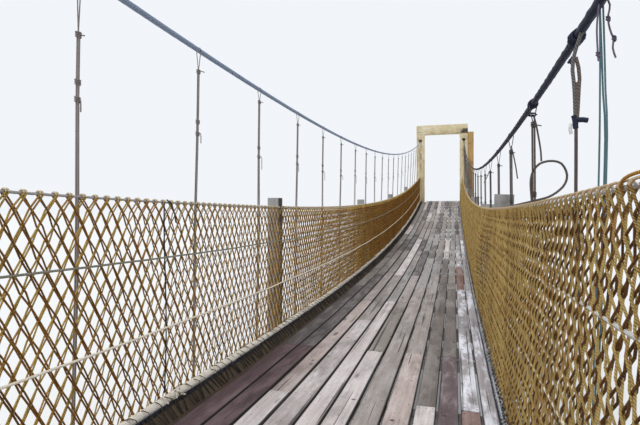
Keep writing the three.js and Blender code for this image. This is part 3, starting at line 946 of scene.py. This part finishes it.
class FOOTBRIDGE_OT_portals(bpy.types.Operator):
    """Timber posts, outer posts and lintels of both portals"""

    bl_idname = "footbridge.portals"
    bl_label = "Portals"

    hole_radius = 0.056
    # The cable rests on the lower edge of its hole
    hole_height = CABLE_AT_POST - CABLE_RADIUS * math.cos(math.pi / 8) + hole_radius
    slimmer = 0.004
    bolt_heights = (0.9, 2.6, 4.42)

    def stand(self, node, axis, finish):
        """Puts a worn timber in the place of a CAD node that runs along an axis."""
        low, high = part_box(node)
        middle, size = (low + high) / 2, high - low
        path = [middle.copy(), middle.copy()]
        path[0][axis], path[1][axis] = low[axis], high[axis]
        across = size.y if axis == 2 else size.z
        piece = timber(
            f"{node}_timber", [path], finish, [node], width=size.x - self.slimmer,
            height=across - self.slimmer, corner=0.012, step=0.12, wear=0.003,
        )
        return piece, middle

    def drill(self, piece, middle):
        """Cuts the hole that the main cable runs through."""
        path = [(middle.x + reach, middle.y, self.hole_height) for reach in (-0.3, 0.3)]
        cutter = grow("cutter", cord_shape, [path], None, radius=self.hole_radius, sides=20)
        cut = piece.modifiers.new("Hole", "BOOLEAN")
        cut.object = cutter
        cut.solver = "EXACT"
        drilled = evaluated(piece)
        piece.modifiers.clear()
        piece.data = drilled
        bpy.data.objects.remove(cutter)

    def execute(self, context):
        bolts = []
        for end in ("near", "far"):
            for name in SIDES:
                self.drill(*self.stand(f"{end}_{name}_portal_post", 2, "Portal timber"))
            node = f"{end}_right_outer_post"
            _, middle = self.stand(node, 2, "Outer timber")
            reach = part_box(node)[1].x - middle.x + 0.004
            for z in self.bolt_heights:
                bolts.append([(middle.x + x, middle.y + 0.03, z) for x in (-reach, reach)])
            self.stand(f"{end}_lintel", 1, "Lintel timber")
        cord("portal_bolts", bolts, "Rusty iron", 0.022, 6, 0.1)
        # Near-black plugs fill the cable holes: painted shade inside each hole
        reach = HALF_SPAN - POST_FACE + 0.004
        plugs = [
            [(end * HALF_SPAN + aside, y, self.hole_height) for aside in (-reach, reach)]
            for end in (-1, 1) for y in (-POST_Y, POST_Y)
        ]
        cord("cable_hole_packing", plugs, "Tarred packing", self.hole_radius - 0.001, 16, 0.1)
        return {"FINISHED"}


class FOOTBRIDGE_OT_anchors(bpy.types.Operator):
    """Concrete finish of the anchor blocks"""

    bl_idname = "footbridge.anchors"
    bl_label = "Anchor blocks"

    def execute(self, context):
        for node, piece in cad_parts.items():
            if "anchor_block" in node:
                piece.data.materials.clear()
                piece.data.materials.append(finish_and_slot("Cast concrete")[0])
        return {"FINISHED"}


# Looks of single boards: the tint, the tint where it is worn, and how much of it is worn
LOOKS = {
    "purple": ((0.098, 0.060, 0.064), (0.29, 0.21, 0.215), 0.4),
    "charcoal": ((0.115, 0.095, 0.095), (0.33, 0.30, 0.295), 0.5),
    "pale": ((0.56, 0.50, 0.48), (0.76, 0.71, 0.70), 0.65),
    "rose": ((0.45, 0.365, 0.335), (0.62, 0.55, 0.52), 0.55),
    "beige": ((0.34, 0.295, 0.27), (0.47, 0.43, 0.41), 0.55),
    "mid": ((0.27, 0.235, 0.21), (0.40, 0.37, 0.35), 0.5),
    "grey": ((0.31, 0.29, 0.28), (0.45, 0.43, 0.42), 0.5),
    "umber": ((0.165, 0.14, 0.125), (0.34, 0.31, 0.29), 0.55),
    "plum": ((0.15, 0.105, 0.11), (0.42, 0.375, 0.39), 0.6),
    "white": ((0.38, 0.345, 0.35), (0.86, 0.86, 0.92), 0.95),
    "red": ((0.24, 0.125, 0.10), (0.42, 0.33, 0.31), 0.5),
}
# Rows of boards from left to right: the width with its gap, the gap, and the boards near mid-span
# as the number of the hanger where each starts and its look
BOARD_ROWS = [
    (0.134, 0.012, [(-3, "purple"), (0, "charcoal"), (3, "mid")]),
    (0.128, 0.014, [(-3, "purple"), (0, "charcoal"), (4, "mid")]),
    (0.125, 0.013, [(-3, "pale"), (-1, "rose"), (2, "beige")]),
    (0.136, 0.012, [(-3, "pale"), (1, "beige"), (4, "pale")]),
    (0.114, 0.013, [(-4, "pale"), (2, "grey"), (5, "beige")]),
    (0.125, 0.014, [(-3, "pale"), (0, "mid"), (2, "beige")]),
    (0.136, 0.013, [(-4, "beige"), (3, "grey")]),
    (0.136, 0.014, [(-3, "rose"), (0, "beige"), (4, "grey")]),
    (0.108, 0.013, [(-3, "pale"), (-1, "umber"), (4, "umber")]),
    (0.108, 0.013, [(-3, "plum"), (0, "umber"), (3, "mid")]),
    (0.098, 0.010, [(-3, "red"), (-1, "white"), (3, "red"), (5, "white")]),
    (0.092, 0.012, [(-3, "white"), (3, "grey"), (6, "white")]),
]


class FOOTBRIDGE_OT_boards(bpy.types.Operator):
    """Rows of walked-on boards, butted on the bearers and nailed down"""

    bl_idname = "footbridge.boards"
    bl_label = "Boards"

    usual_looks = ("grey", "mid", "beige", "pale", "charcoal", "umber")
    last_start = 15
    joint = 0.003

    def lay_row(self, shown, dice, end):
        """Starts, ends and looks of the boards of one row, from end to end of the deck."""
        starts = list(shown)
        while starts[0][0] > FIRST_HANGER:
            start = starts[0][0] - dice.choice((2, 3, 4))
            starts.insert(0, (start, dice.choice(self.usual_looks)))
        while starts[-1][0] < self.last_start:
            start = starts[-1][0] + dice.choice((2, 3))
            starts.append((start, dice.choice(self.usual_looks)))
        places = [max(number * HANGER_PITCH, -end) for number, _ in starts] + [end]
        return [(a, b, look) for a, b, (_, look) in zip(places, places[1:], starts)]

    def execute(self, context):
        sizes = context.scene.footbridge_deck
        deck_bays = [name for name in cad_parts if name.startswith("deck_bay")]
        dice = random.Random(SEED)
        nails = []
        left, right = SIDES["left"].deck_edge + 0.016, -SIDES["right"].deck_edge
        stretch = (left - right + BOARD_ROWS[-1][1]) / sum(row[0] for row in BOARD_ROWS)
        y = left
        for number, (width, gap, shown) in enumerate(BOARD_ROWS, 1):
            width *= stretch
            middle = y - (width - gap) / 2
            # A board wider out than the doorway stops at the posts
            end = DECK_END if y < POST_Y - 0.16 else POST_FACE - 0.002
            y -= width
            paths = []
            looks = {"tint": [], "worn": [], "amount": [], "shift": []}
            for start, stop, look in self.lay_row(shown, dice, end):
                lift = dice.uniform(-0.004, 0.0)
                tilt = dice.uniform(-0.003, 0.003)
                board_y = middle + dice.uniform(-0.002, 0.002)
                stations = spread(start + self.joint, stop - self.joint, 0.4)
                centre = lift - sizes.thickness / 2
                paths.append([
                    (x, board_y + tilt * i / len(stations), deck(x) + centre)
                    for i, x in enumerate(stations)
                ])
                fade = dice.uniform(0.9, 1.1)
                tint, worn, amount = LOOKS[look]
                looks["tint"].append(tuple(fade * value for value in tint))
                looks["worn"].append(worn)
                looks["amount"].append(amount * dice.uniform(0.8, 1.1))
                looks["shift"].append(dice.uniform(0, 60))
                for x in [place for place in HANGERS if start - 0.05 < place < stop + 0.05]:
                    x = min(max(x, start + 0.03), stop - 0.03)
                    for across in (-0.3, 0.3):
                        jitter = dice.uniform(-0.015, 0.015)
                        place = (x + jitter, middle + across * width, deck(x) + lift + 0.0002)
                        nails.append([place])
            timber(
                f"board_row_{number:02d}", paths, "Walked boards", deck_bays, looks,
                width=width - gap, height=sizes.thickness - 0.001, corner=0.006, step=0.3,
                wear=0.0015,
            )
        grow("board_nails", nail_shape, nails, "Rusty iron", crease=60, diameter=sizes.nail)
        return {"FINISHED"}


class FOOTBRIDGE_OT_bearers(bpy.types.Operator):
    """Cross bearers under the boards, and the sills between the portal posts"""

    bl_idname = "footbridge.bearers"
    bl_label = "Bearers"

    half_length = 1.1
    sill = 0.15
    clearance = 0.001

    def execute(self, context):
        places = [*HANGERS, *SIDES["left"].posts, *SIDES["right"].posts]
        drop = BEARER_TOP - self.clearance - BEARER_DEPTH / 2
        for name, places, half, drop, width, height in (
            ("cross_bearers", places, self.half_length, drop, BEARER_WIDTH, BEARER_DEPTH),
            (
                "portal_sills", (-HALF_SPAN, HALF_SPAN), FAR_POST[0].y - self.clearance,
                BEARER_TOP - self.sill / 2, self.sill, self.sill,
            ),
        ):
            paths = [[(x, y, deck(x) + drop) for y in (-half, half)] for x in places]
            sizes = {"width": width, "height": height, "corner": 0.006, "step": 0.2, "wear": 0.003}
            timber(name, paths, "Bearer wood", **sizes)
        return {"FINISHED"}


class FOOTBRIDGE_OT_main_cables(bpy.types.Operator):
    """Main cables of laid wire, from anchor to anchor"""

    bl_idname = "footbridge.main_cables"
    bl_label = "Main cables"

    def route(self, side):
        """Points from one anchor over the posts and the span to the other anchor."""
        y = side.sign * POST_Y
        turn = Vector((HALF_SPAN + (HALF_SPAN - POST_FACE) + SADDLE_REACH, y, CABLE_AT_POST))
        foot = Vector((ANCHOR_X, y, ANCHOR[1].z))
        down = (foot - turn).normalized()
        entry = Vector((POST_FACE - SADDLE_REACH, y, CABLE_AT_POST))
        bend = [turn - Vector((CABLE_RADIUS, 0, 0)), turn + down * 2 * CABLE_RADIUS]
        far = [entry, *bend, foot + down * 0.2]
        near = [Vector((-p.x, p.y, p.z)) for p in reversed(far)]
        return [*near, *(cable_at(side, x) for x in spread(HANGERS[0], HANGERS[-1], 0.5)), *far]

    def execute(self, context):
        for name, side in SIDES.items():
            cord(
                f"{name}_main_cable_rope", [self.route(side)], radius=CABLE_RADIUS, sides=12,
                step=0.08, replaced=[f"{name}_main_cable"], strands=6.0, **side.main_cable,
            )
        return {"FINISHED"}


class FOOTBRIDGE_OT_hangers(bpy.types.Operator):
    """Doubled wire hangers, looped over the main cables, knotted and tied under the bearers"""

    bl_idname = "footbridge.hangers"
    bl_label = "Hangers"

    wire = 0.0048
    loop_wire = 0.0026
    # Hangers near mid-span whose loops hang longer: their number and the loop's length
    long_loops = {("left", -2): 0.257, ("right", -1): 0.10}
    # The hanger that the taped repair takes the place of
    repaired = ("right", -2)

    def execute(self, context):
        for name, side in SIDES.items():
            dice = random.Random(SEED + side.sign)
            stems, loops, tails, knots = [], [], [], []
            for number, place in enumerate(HANGERS, FIRST_HANGER):
                top = cable_at(side, place + dice.uniform(-0.02, 0.02) if number else place)
                foot = beside(side, place, side.foot, BEARER_TOP)
                down = (foot - top).normalized()
                neck = top + down * self.long_loops.get((name, number), dice.uniform(0.09, 0.13))
                half = Vector((0.0015, self.wire, 0))
                sole = foot - Vector((0, 0, BEARER_DEPTH + self.wire))
                edge = Vector((BEARER_WIDTH / 2 + self.wire, 0, 0))
                knee = foot + Vector((0, 0, 0.05))
                loops.append([knee, foot + edge, sole + edge, sole - edge, foot - edge, knee])
                if (name, number) == self.repaired:
                    continue
                low = dice.uniform(0.40, 0.46)
                places = [neck, top + down * low, top + down * (low + 0.07)]
                # Under the lowest knot the two wires part a little
                ease = dice.uniform(1.1, 1.7)
                middle = places[2].lerp(foot, 0.4) + Vector((0, dice.uniform(-0.01, 0.01), 0))
                bends = ((neck, 1), (places[2], 1), (middle, ease), (foot, 1))
                stems += [[point + half * part * wide for point, wide in bends] for part in (-1, 1)]
                reach = CABLE_RADIUS + self.loop_wire
                over = [
                    top + Vector((0.006 * math.cos(a), reach * math.cos(a), reach * math.sin(a)))
                    for a in spread(-0.3, math.pi + 0.3, 0.6)
                ]
                loops.append([neck, *over, neck])
                knots += [[point - Vector((0, 0, 0.012))] for point in places]
                away = Vector((0.01, -1, 0)) * dice.uniform(0.025, 0.04)
                tails.append([neck, neck + away * 0.6, neck + away - Vector((0, 0, 0.008))])
                hang = Vector((0, 0, dice.uniform(0.05, 0.14)))
                bend = Vector((0, dice.uniform(-0.03, -0.015), 0))
                tails.append([places[2], places[2] + bend, places[2] + bend - hang])
            cord(f"{name}_hanger_stems", stems, side.wire, self.wire, 6, 0.22, wander=0.004)
            cord(f"{name}_hanger_loops", loops, side.wire, self.loop_wire, 5, 0.02)
            cord(f"{name}_hanger_tails", tails, side.wire, 0.003, 5, 0.02)
            coil = {"radius": 0.010, "wire": 0.004, "turns": 3.0, "height": 0.024}
            grow(f"{name}_hanger_knots", knot_shape, knots, side.wire, **coil)
        return {"FINISHED"}


class FOOTBRIDGE_OT_repairs(bpy.types.Operator):
    """Repairs of the right hangers: taped knot, doubled ties, wire ring and blue-green ropes"""

    bl_idname = "footbridge.repairs"
    bl_label = "Repairs"

    # Turns of cord round the cable: x, distance to the middle, and size
    wraps = (
        (-1.815, 0.845, 0.95), (-1.80, 0.846, 1.05), (-1.785, 0.844, 1.1), (-1.77, 0.845, 1.0),
        (-0.95, 0.846, 1.0), (-0.935, 0.847, 1.08), (-0.92, 0.845, 1.0),
    )
    # Short ties below it, and the blue-green ropes: x, distance to the middle, height or foot
    short_ties = ((-1.727, 0.843, 2.112), (-1.735, 0.838, 2.104), (-1.72, 0.848, 2.106))
    blue_ropes = ((-2.0, 0.856, 0.8535), (-2.02, 0.858, 0.866), (-1.99, 0.8585, 0.8695))
    rope_ends_x = -2.05
    rope_ends = (
        (
            (0.862, 2.16), (0.8665, 2.1436), (0.862, 2.1128), (0.8688, 2.0768), (0.8757, 2.0613),
            (0.8734, 2.0356), (0.8802, 2.0099),
        ),
        ((0.842, 2.16), (0.839, 2.128), (0.8366, 2.082), (0.8390, 2.023), (0.8405, 2.005)),
    )
    rope_knots = ((0.862, 2.1128), (0.8757, 2.0613), (0.8390, 2.023))
    ring = (
        (0.843, 1.62), (0.842, 1.67), (0.838, 1.72), (0.837, 1.77), (0.847, 1.812), (0.878, 1.850),
        (0.930, 1.861), (0.973, 1.846), (0.995, 1.80), (0.992, 1.762), (0.970, 1.727),
        (0.923, 1.692), (0.870, 1.675), (0.842, 1.668),
    )
    ring_tail = ((-0.5, 0.815), (0.0, 0.83), (0.6, 0.85))
    orange_hump = (
        (-2.365, -0.799, 1.650), (-2.372, -0.795, 1.668), (-2.395, -0.795, 1.681),
        (-2.44, -0.802, 1.688), (-2.49, -0.815, 1.690), (-2.55, -0.826, 1.686),
        (-2.62, -0.82, 1.677), (-2.66, -0.802, 1.673), (-2.69, -0.792, 1.678),
        (-2.71, -0.80, 1.688), (-2.73, -0.812, 1.684), (-2.75, -0.806, 1.668),
    )

    def above(self, number, *points):
        """A line in a hanger's cross plane, from distances to the middle and heights."""
        x = HANGERS[number - FIRST_HANGER] - 0.004
        return rounded([(x, -y, z) for y, z in points])

    def cable_ties(self, side):
        """Black cord wound round the right cable and hitched to the hangers."""
        ties = []
        for x, y, size in self.wraps:
            height, reach = cable_height(side, x), size * (CABLE_RADIUS + 0.004)
            ties.append([
                (x, -y - reach * math.cos(a), height + reach * math.sin(a))
                for a in spread(-1.6, 4.7, 0.5)
            ])
        for x, y, z in self.short_ties:
            ties.append([(x - 0.014, -y, z), (x, -y - 0.006, z + 0.004), (x + 0.02, -y, z)])
        hitch = ((0.825, 2.088), (0.845, 2.094), (0.863, 2.085), (0.845, 2.079), (0.824, 2.084))
        ties.append(self.above(-1, (0.832, 2.080), (0.846, 2.083), (0.858, 2.078)))
        return [*ties, self.above(-1, *hitch)]

    def execute(self, context):
        side = SIDES["right"]
        x = HANGERS[-2 - FIRST_HANGER]
        top, foot = cable_height(side, x), (side.foot, deck(x) + BEARER_TOP)
        stem = ((0.829, 1.87), (0.829, 1.76), (0.829, 1.65), (0.84, 1.2), (0.85, 0.9), foot)
        grey = (
            (0.847, top), (0.823, 2.083), (0.8185, 2.035), (0.823, 1.994), (0.826, 1.93),
            (0.827, 1.88),
        )
        brown = ((0.828, 2.075), (0.838, 2.029), (0.837, 1.988), (0.834, 1.92), (0.831, 1.88))
        between = ((0.829, 2.0), (0.831, 1.96), (0.830, 1.91), (0.829, 1.88))
        black = (
            ((0.822, 1.888), (0.842, 1.890), (0.861, 1.887)),
            ((0.823, 1.903), (0.827, 1.885), (0.828, 1.864)),
        )
        white = ((0.815, 1.878), (0.812, 1.862), (0.816, 1.848))
        slanting = {
            -1: ((0.850, 2.08), (0.860, 2.04), (0.874, 1.96), (0.882, 1.904), (0.884, 1.86)),
            0: ((0.848, 2.06), (0.856, 2.03), (0.876, 1.93), (0.888, 1.84)),
            2: ((0.838, 2.05), (0.81, 1.98), (0.782, 1.925)),
        }
        slanting = [self.above(number, *line) for number, line in slanting.items()]
        ring = self.above(-1, *self.ring)
        tail = [beside(side, x, y, side.net_height + 0.02) for x, y in self.ring_tail]
        ring += rounded([ring[-1], *tail])[1:]
        blue = []
        for x, y, foot_y in self.blue_ropes:
            high = (x, -y, cable_height(side, x) + CABLE_RADIUS)
            sway, down = (x, -(y + foot_y) / 2 - 0.002, 1.95), (x, -foot_y, 1.70)
            blue.append(rounded([high, sway, down, (x + 0.12, -side.foot, deck(x) + BEARER_TOP)]))
        violet = [rounded([(self.rope_ends_x, -y, z) for y, z in line]) for line in self.rope_ends]
        # The paths of each cord, its finish, radius, sides, step and wander
        for name, paths, finish, radius, sides, step, wander in (
            ("low_hanger", [self.above(-2, *stem)], "Violet-brown fibre", 0.0048, 6, 0.06, 0.006),
            ("grey_loop", [self.above(-2, *grey)], "Grey fibre", 0.0056, 7, 0.03, 0.004),
            (
                "brown_loop", [self.above(-2, *line) for line in (brown, between)], "Brown fibre",
                0.0054, 7, 0.03, 0.004,
            ),
            (
                "black_tape", [self.above(-2, *line) for line in black], "Black cable",
                0.0078, 8, 0.012, 0.008,
            ),
            ("white_tape", [self.above(-2, *white)], "White tape", 0.005, 7, 0.01, 0.0),
            ("cable_ties", self.cable_ties(side), "Black cable", 0.0046, 6, 0.012, 0.01),
            ("slanting_ties", slanting, side.wire, 0.0045, 6, 0.04, 0.006),
            ("wire_ring", [ring], side.wire, 0.0055, 8, 0.02, 0.0),
            ("blue_ropes", blue, "Blue-green rope", 0.0025, 6, 0.06, 0.004),
            ("rope_ends", violet, "Faded violet rope", 0.0024, 6, 0.012, 0.01),
            ("orange_rope", [rounded(self.orange_hump)], "Orange rope", 0.0036, 7, 0.012, 0.006),
        ):
            cord(f"right_{name}", paths, finish, radius, sides, step, wander=wander)
        lumps = [[(self.rope_ends_x, -y, z - 0.006)] for y, z in self.rope_knots]
        coil = {"radius": 0.0035, "wire": 0.0035, "turns": 2.0, "height": 0.013}
        grow("right_rope_knots", knot_shape, lumps, "Faded violet rope", **coil)
        return {"FINISHED"}


class FOOTBRIDGE_OT_handrails(bpy.types.Operator):
    """Grey handrail cables on top of the nets"""

    bl_idname = "footbridge.handrails"
    bl_label = "Handrails"

    def execute(self, context):
        end = POST_FACE - 0.002
        for name, side in SIDES.items():
            path = [beside(side, x, side.handrail, side.net_height) for x in spread(-end, end, 0.4)]
            cord(
                f"{name}_handrail_cable", [path], f"Handrail wire, {name}", HANDRAIL_RADIUS, 8,
                0.045, [f"{name}_handrail"], strands=3.0, groove=0.2, lay=0.36,
            )
        return {"FINISHED"}


class FOOTBRIDGE_OT_net_posts(bpy.types.Operator):
    """Split grey posts that hold the handrails"""

    bl_idname = "footbridge.net_posts"
    bl_label = "Net posts"

    def execute(self, context):
        for name, side in SIDES.items():
            paths = []
            for number, x in enumerate(side.posts):
                foot = side.rail + side.post_inset + side.post_width / 2
                top = side.handrail + side.post_inset - 0.022 + side.post_width / 2
                high = side.net_height + side.rises[number % len(side.rises)]
                slope = (top - foot) / (side.net_height - BEARER_TOP)
                head = foot + slope * (high - BEARER_TOP)
                paths.append([beside(side, x, foot, BEARER_TOP), beside(side, x, head, high)])
            timber(
                f"{name}_net_posts", paths, "Grey wood", [f"{name}_handrail"],
                width=side.post_length, height=side.post_width, corner=0.006, step=0.1, wear=0.004,
            )
        # A near-black batten against the inner face of the left post at mid-span is painted shade
        # of that face
        side = SIDES["left"]
        x = side.posts[3] - 0.035
        batten = [beside(side, x, side.handrail, z) for z in (0.90, side.net_height + 0.075)]
        sizes = {"width": 0.034, "height": 0.016, "corner": 0.003, "step": 0.1, "wear": 0.002}
        timber("left_post_shade_batten", [batten], "Dark batten", **sizes)
        return {"FINISHED"}


class FOOTBRIDGE_OT_bottom_rails(bpy.types.Operator):
    """Poles laid end to end under the nets, black edge cables, a kerb on the left, and lashings"""

    bl_idname = "footbridge.bottom_rails"
    bl_label = "Bottom rails"

    edge_cable = 0.0065
    kerb_lean = math.radians(-42)

    def poles(self, side, dice, start, end):
        """Short lengths of pole laid end to end, with gaps between them."""
        paths = []
        while start < end:
            stop = min(start + dice.uniform(0.17, 0.30), end)
            aside, up, lean = (dice.uniform(-0.004, 0.004) for _ in range(3))
            places = ((start + 0.012, aside, up), (stop - 0.010, aside + lean, up - lean))
            paths.append([beside(side, x, side.rail + y, RAIL_LIFT + z) for x, y, z in places])
            start = stop
        return paths

    def execute(self, context):
        pitch = context.scene.footbridge_net.lashing
        end = POST_FACE - 0.005
        whole = spread(-end, end, 0.4)
        for name, side in SIDES.items():
            dice = random.Random(SEED + 3 * side.sign)
            cord(
                f"{name}_bottom_poles", self.poles(side, dice, -end, end), side.poles,
                RAIL_RADIUS - 0.002, 8, 0.12, [f"{name}_bottom_rail"], 50, wander=0.010,
            )
            edges = [[beside(side, x, y, lift) for x in whole] for y, lift in side.edge_cables]
            cord(
                f"{name}_edge_cables", edges, "Black cable", self.edge_cable, 7, 0.06,
                strands=3.0, groove=0.15, lay=0.48, wander=0.012,
            )
            turns = []
            for x in spread(-end + 0.05, end - 0.05, pitch):
                x += dice.uniform(-0.02, 0.02)
                turns.append([beside(side, x, side.rail - 0.008, RAIL_LIFT - 0.004)])
            sizes = {"width": 0.037, "height": 0.028, "radius": 0.0026, "askew": 0.35}
            grow(f"{name}_rail_lashings", lashing_shape, turns, "Lashing rope", **sizes)
        self.kerb(SIDES["left"], whole, end)
        self.old_netting(SIDES["right"], end)
        return {"FINISHED"}

    def kerb(self, side, whole, end):
        """A tan board, darkened with painted shade, that leans from the deck's edge up to the left
        cable, tied up with cord.
        """
        path = [beside(side, x, side.deck_edge + 0.046, 0.022) for x in whole]
        timber(
            "left_kerb", [path], "Kerb board",
            width=0.012, height=0.102, corner=0.003, step=0.3, wear=0.006, lean=self.kerb_lean,
        )
        dice = random.Random(SEED + 9)
        ties = []
        for x in spread(-end + 0.05, end - 0.05, 0.036):
            x += dice.uniform(-0.016, 0.016)
            lean = dice.uniform(-0.03, 0.03)
            low = side.deck_edge + dice.uniform(0.014, 0.026)
            ties.append([
                beside(side, x, side.rail - 0.036, RAIL_LIFT - 0.002),
                beside(side, x + lean * 0.5, side.deck_edge + 0.040, 0.036),
                beside(side, x + lean, low, 0.008),
            ])
        cord("left_kerb_ties", ties, "Black cord", 0.0042, 3, 0.05, wander=0.03)

    def old_netting(self, side, end):
        """Bleached remains of an older net between the deck's right edge and the rail."""
        dice = random.Random(SEED + 11)
        strands = []
        for x in spread(-end + 0.08, end - 0.08, 0.034):
            slant = dice.choice((-1, 1)) * dice.uniform(0.02, 0.06)
            rise = 0.020 + dice.uniform(0, 0.02)
            strands.append([
                beside(side, x, side.deck_edge - 0.02, 0.006),
                beside(side, x + slant * 0.6, side.deck_edge + 0.012, rise),
                beside(side, x + slant, side.rail - 0.018, RAIL_LIFT + 0.015),
            ])
        cord("right_old_netting", strands, "Bleached netting", 0.003, 4, 0.04, wander=0.03)


class FOOTBRIDGE_OT_nets(bpy.types.Operator):
    """Nets of paired twines, hitched over the handrails and brought down to the bottom rails"""

    bl_idname = "footbridge.nets"
    bl_label = "Nets"

    # Panels near the camera have rounder twines, and the left net is fuller past mid-span
    close_panels = (3, 4, 5)
    first_full_panel = 5

    def execute(self, context):
        net = context.scene.footbridge_net
        end = POST_FACE - 0.012
        for name, side in SIDES.items():
            radius = net.twine / 2 * side.twine_scale
            shared = {
                "cell": net.cell, "side": float(side.sign), "upper_y": side.handrail,
                "upper_lift": side.net_height, "hold": HANDRAIL_RADIUS + radius + side.hitch_gap,
            }
            reach = side.levels * net.cell / 2
            lower_y = side.rail + side.foot_side * (RAIL_RADIUS + 0.003)
            edges = [-end, *side.posts, end]
            middle, half, depth = side.bulge
            for number, (start, stop) in enumerate(zip(edges, edges[1:]), 1):
                sides, thicker = (4, 1) if number in self.close_panels else (3, 1.2)
                if number >= self.first_full_panel:
                    thicker *= side.fuller
                for word, slant, finish, front in side.strands:
                    first = start - reach if slant > 0 and number == 1 else start
                    last = stop + reach if slant < 0 and stop == end else stop
                    first = math.ceil(first / net.cell) * net.cell
                    panel = f"{name}_net_{number}"
                    grow(
                        f"{panel}_{word}", net_shape, [], finish, [panel],
                        strands=math.ceil((last - first) / net.cell), levels=side.levels,
                        start=first, end=end, slant=slant, front=front, sides=sides,
                        radius=radius * thicker, spread=0.0056, weave=side.weave, lower_y=lower_y,
                        lower_lift=RAIL_LIFT - 0.026, twist=side.twist, middle=middle, half=half,
                        depth=depth, **shared,
                    )
            first = math.ceil(-end / net.cell) * net.cell
            grow(
                f"{name}_net_hitches", hitch_shape, [], side.hitches, start=first,
                strands=int((end - first) / net.cell) + 1, radius=radius * 1.1,
                spread=0.0052 - side.twist * 0.0018, skew=side.twist * net.cell / 8, **shared,
            )
            foot = [beside(side, x, lower_y, RAIL_LIFT - 0.028) for x in spread(-end, end, 0.4)]
            cord(f"{name}_foot_rope", [foot], "Lashing rope", 0.005, 6, 0.15)
        return {"FINISHED"}


class FOOTBRIDGE_OT_side_ropes(bpy.types.Operator):
    """Long ropes threaded through the nets, and the upright tie on the left"""

    bl_idname = "footbridge.side_ropes"
    bl_label = "Side ropes"

    tie_x = -1.38

    def on_net(self, side, x, lift, inward):
        """A place at a distance from the net's plane, which a slack panel leaves."""
        share = (lift - RAIL_LIFT) / (side.net_height - RAIL_LIFT)
        foot = side.rail + side.foot_side * (RAIL_RADIUS + 0.003)
        return beside(side, x, foot + share * (side.handrail - foot) - inward, lift)

    def execute(self, context):
        end = POST_FACE - 0.02
        for name, side in SIDES.items():
            # In front of the left net and between the strands of the right one
            for word, lift, finish, radius in side.ropes:
                path = [
                    self.on_net(side, x, lift, side.rope_inset) for x in spread(-end, end, 0.25)
                ]
                cord(f"{name}_{word}_rope", [path], finish, radius, 6, 0.1, wander=0.012)
        side = SIDES["left"]
        top, foot = side.net_height, RAIL_LIFT + 0.03
        tie = []
        for share in spread(0, 1, 0.1):
            x = self.tie_x + 0.012 * math.sin(share * 5)
            tie.append(self.on_net(side, x, foot + (top - foot) * share, 0.010))
        ends = ((-1.375, 0.012), (-1.345, 0.008), (-1.315, -0.03), (-1.295, -0.10))
        loose = [self.on_net(side, x, top + rise, 0.014) for x, rise in ends]
        cord("left_upright_tie", [tie, loose], "Black cable", 0.0034, 6, 0.04)
        rags = []
        dice = random.Random(SEED + 5)
        for _ in range(7):
            x = self.tie_x + dice.uniform(-0.05, 0.07)
            start = beside(side, x, side.rail - 0.028, RAIL_LIFT + dice.uniform(0.0, 0.04))
            away = Vector((dice.uniform(-0.03, 0.05), -0.012, dice.uniform(-0.03, 0.0)))
            rags.append([start, start + away])
        cord("left_tie_rags", rags, "Whitish rope", 0.005, 6, 0.015, wander=0.03)
        return {"FINISHED"}


OPERATORS = (
    FOOTBRIDGE_OT_stage,
    FOOTBRIDGE_OT_portals,
    FOOTBRIDGE_OT_anchors,
    FOOTBRIDGE_OT_boards,
    FOOTBRIDGE_OT_bearers,
    FOOTBRIDGE_OT_main_cables,
    FOOTBRIDGE_OT_hangers,
    FOOTBRIDGE_OT_repairs,
    FOOTBRIDGE_OT_handrails,
    FOOTBRIDGE_OT_net_posts,
    FOOTBRIDGE_OT_bottom_rails,
    FOOTBRIDGE_OT_nets,
    FOOTBRIDGE_OT_side_ropes,
)
GROUPS = {
    "footbridge_net": FootbridgeNetSizes,
    "footbridge_deck": FootbridgeDeckSizes,
    "footbridge_colours": FootbridgeColours,
}


class FOOTBRIDGE_PT_panel(bpy.types.Panel):
    """Sizes, colours and building steps of the footbridge"""

    bl_idname = "FOOTBRIDGE_PT_panel"
    bl_label = "Footbridge"
    bl_space_type = "VIEW_3D"
    bl_region_type = "UI"
    bl_category = "Footbridge"

    def draw(self, context):
        for name, group in GROUPS.items():
            box = self.layout.box()
            for size in group.__annotations__:
                box.prop(getattr(context.scene, name), size)
        for operator in OPERATORS:
            self.layout.operator(operator.bl_idname)


CLASSES = (*GROUPS.values(), *OPERATORS, FOOTBRIDGE_PT_panel)


def register():
    for made in CLASSES:
        bpy.utils.register_class(made)
    for name, group in GROUPS.items():
        setattr(bpy.types.Scene, name, PointerProperty(type=group))


def unregister():
    for name in GROUPS:
        delattr(bpy.types.Scene, name)
    for made in reversed(CLASSES):
        bpy.utils.unregister_class(made)


def main():
    register()
    for operator in OPERATORS:
        getattr(bpy.ops.footbridge, operator.bl_idname.split(".")[1])()


if __name__ == "__main__":
    main()
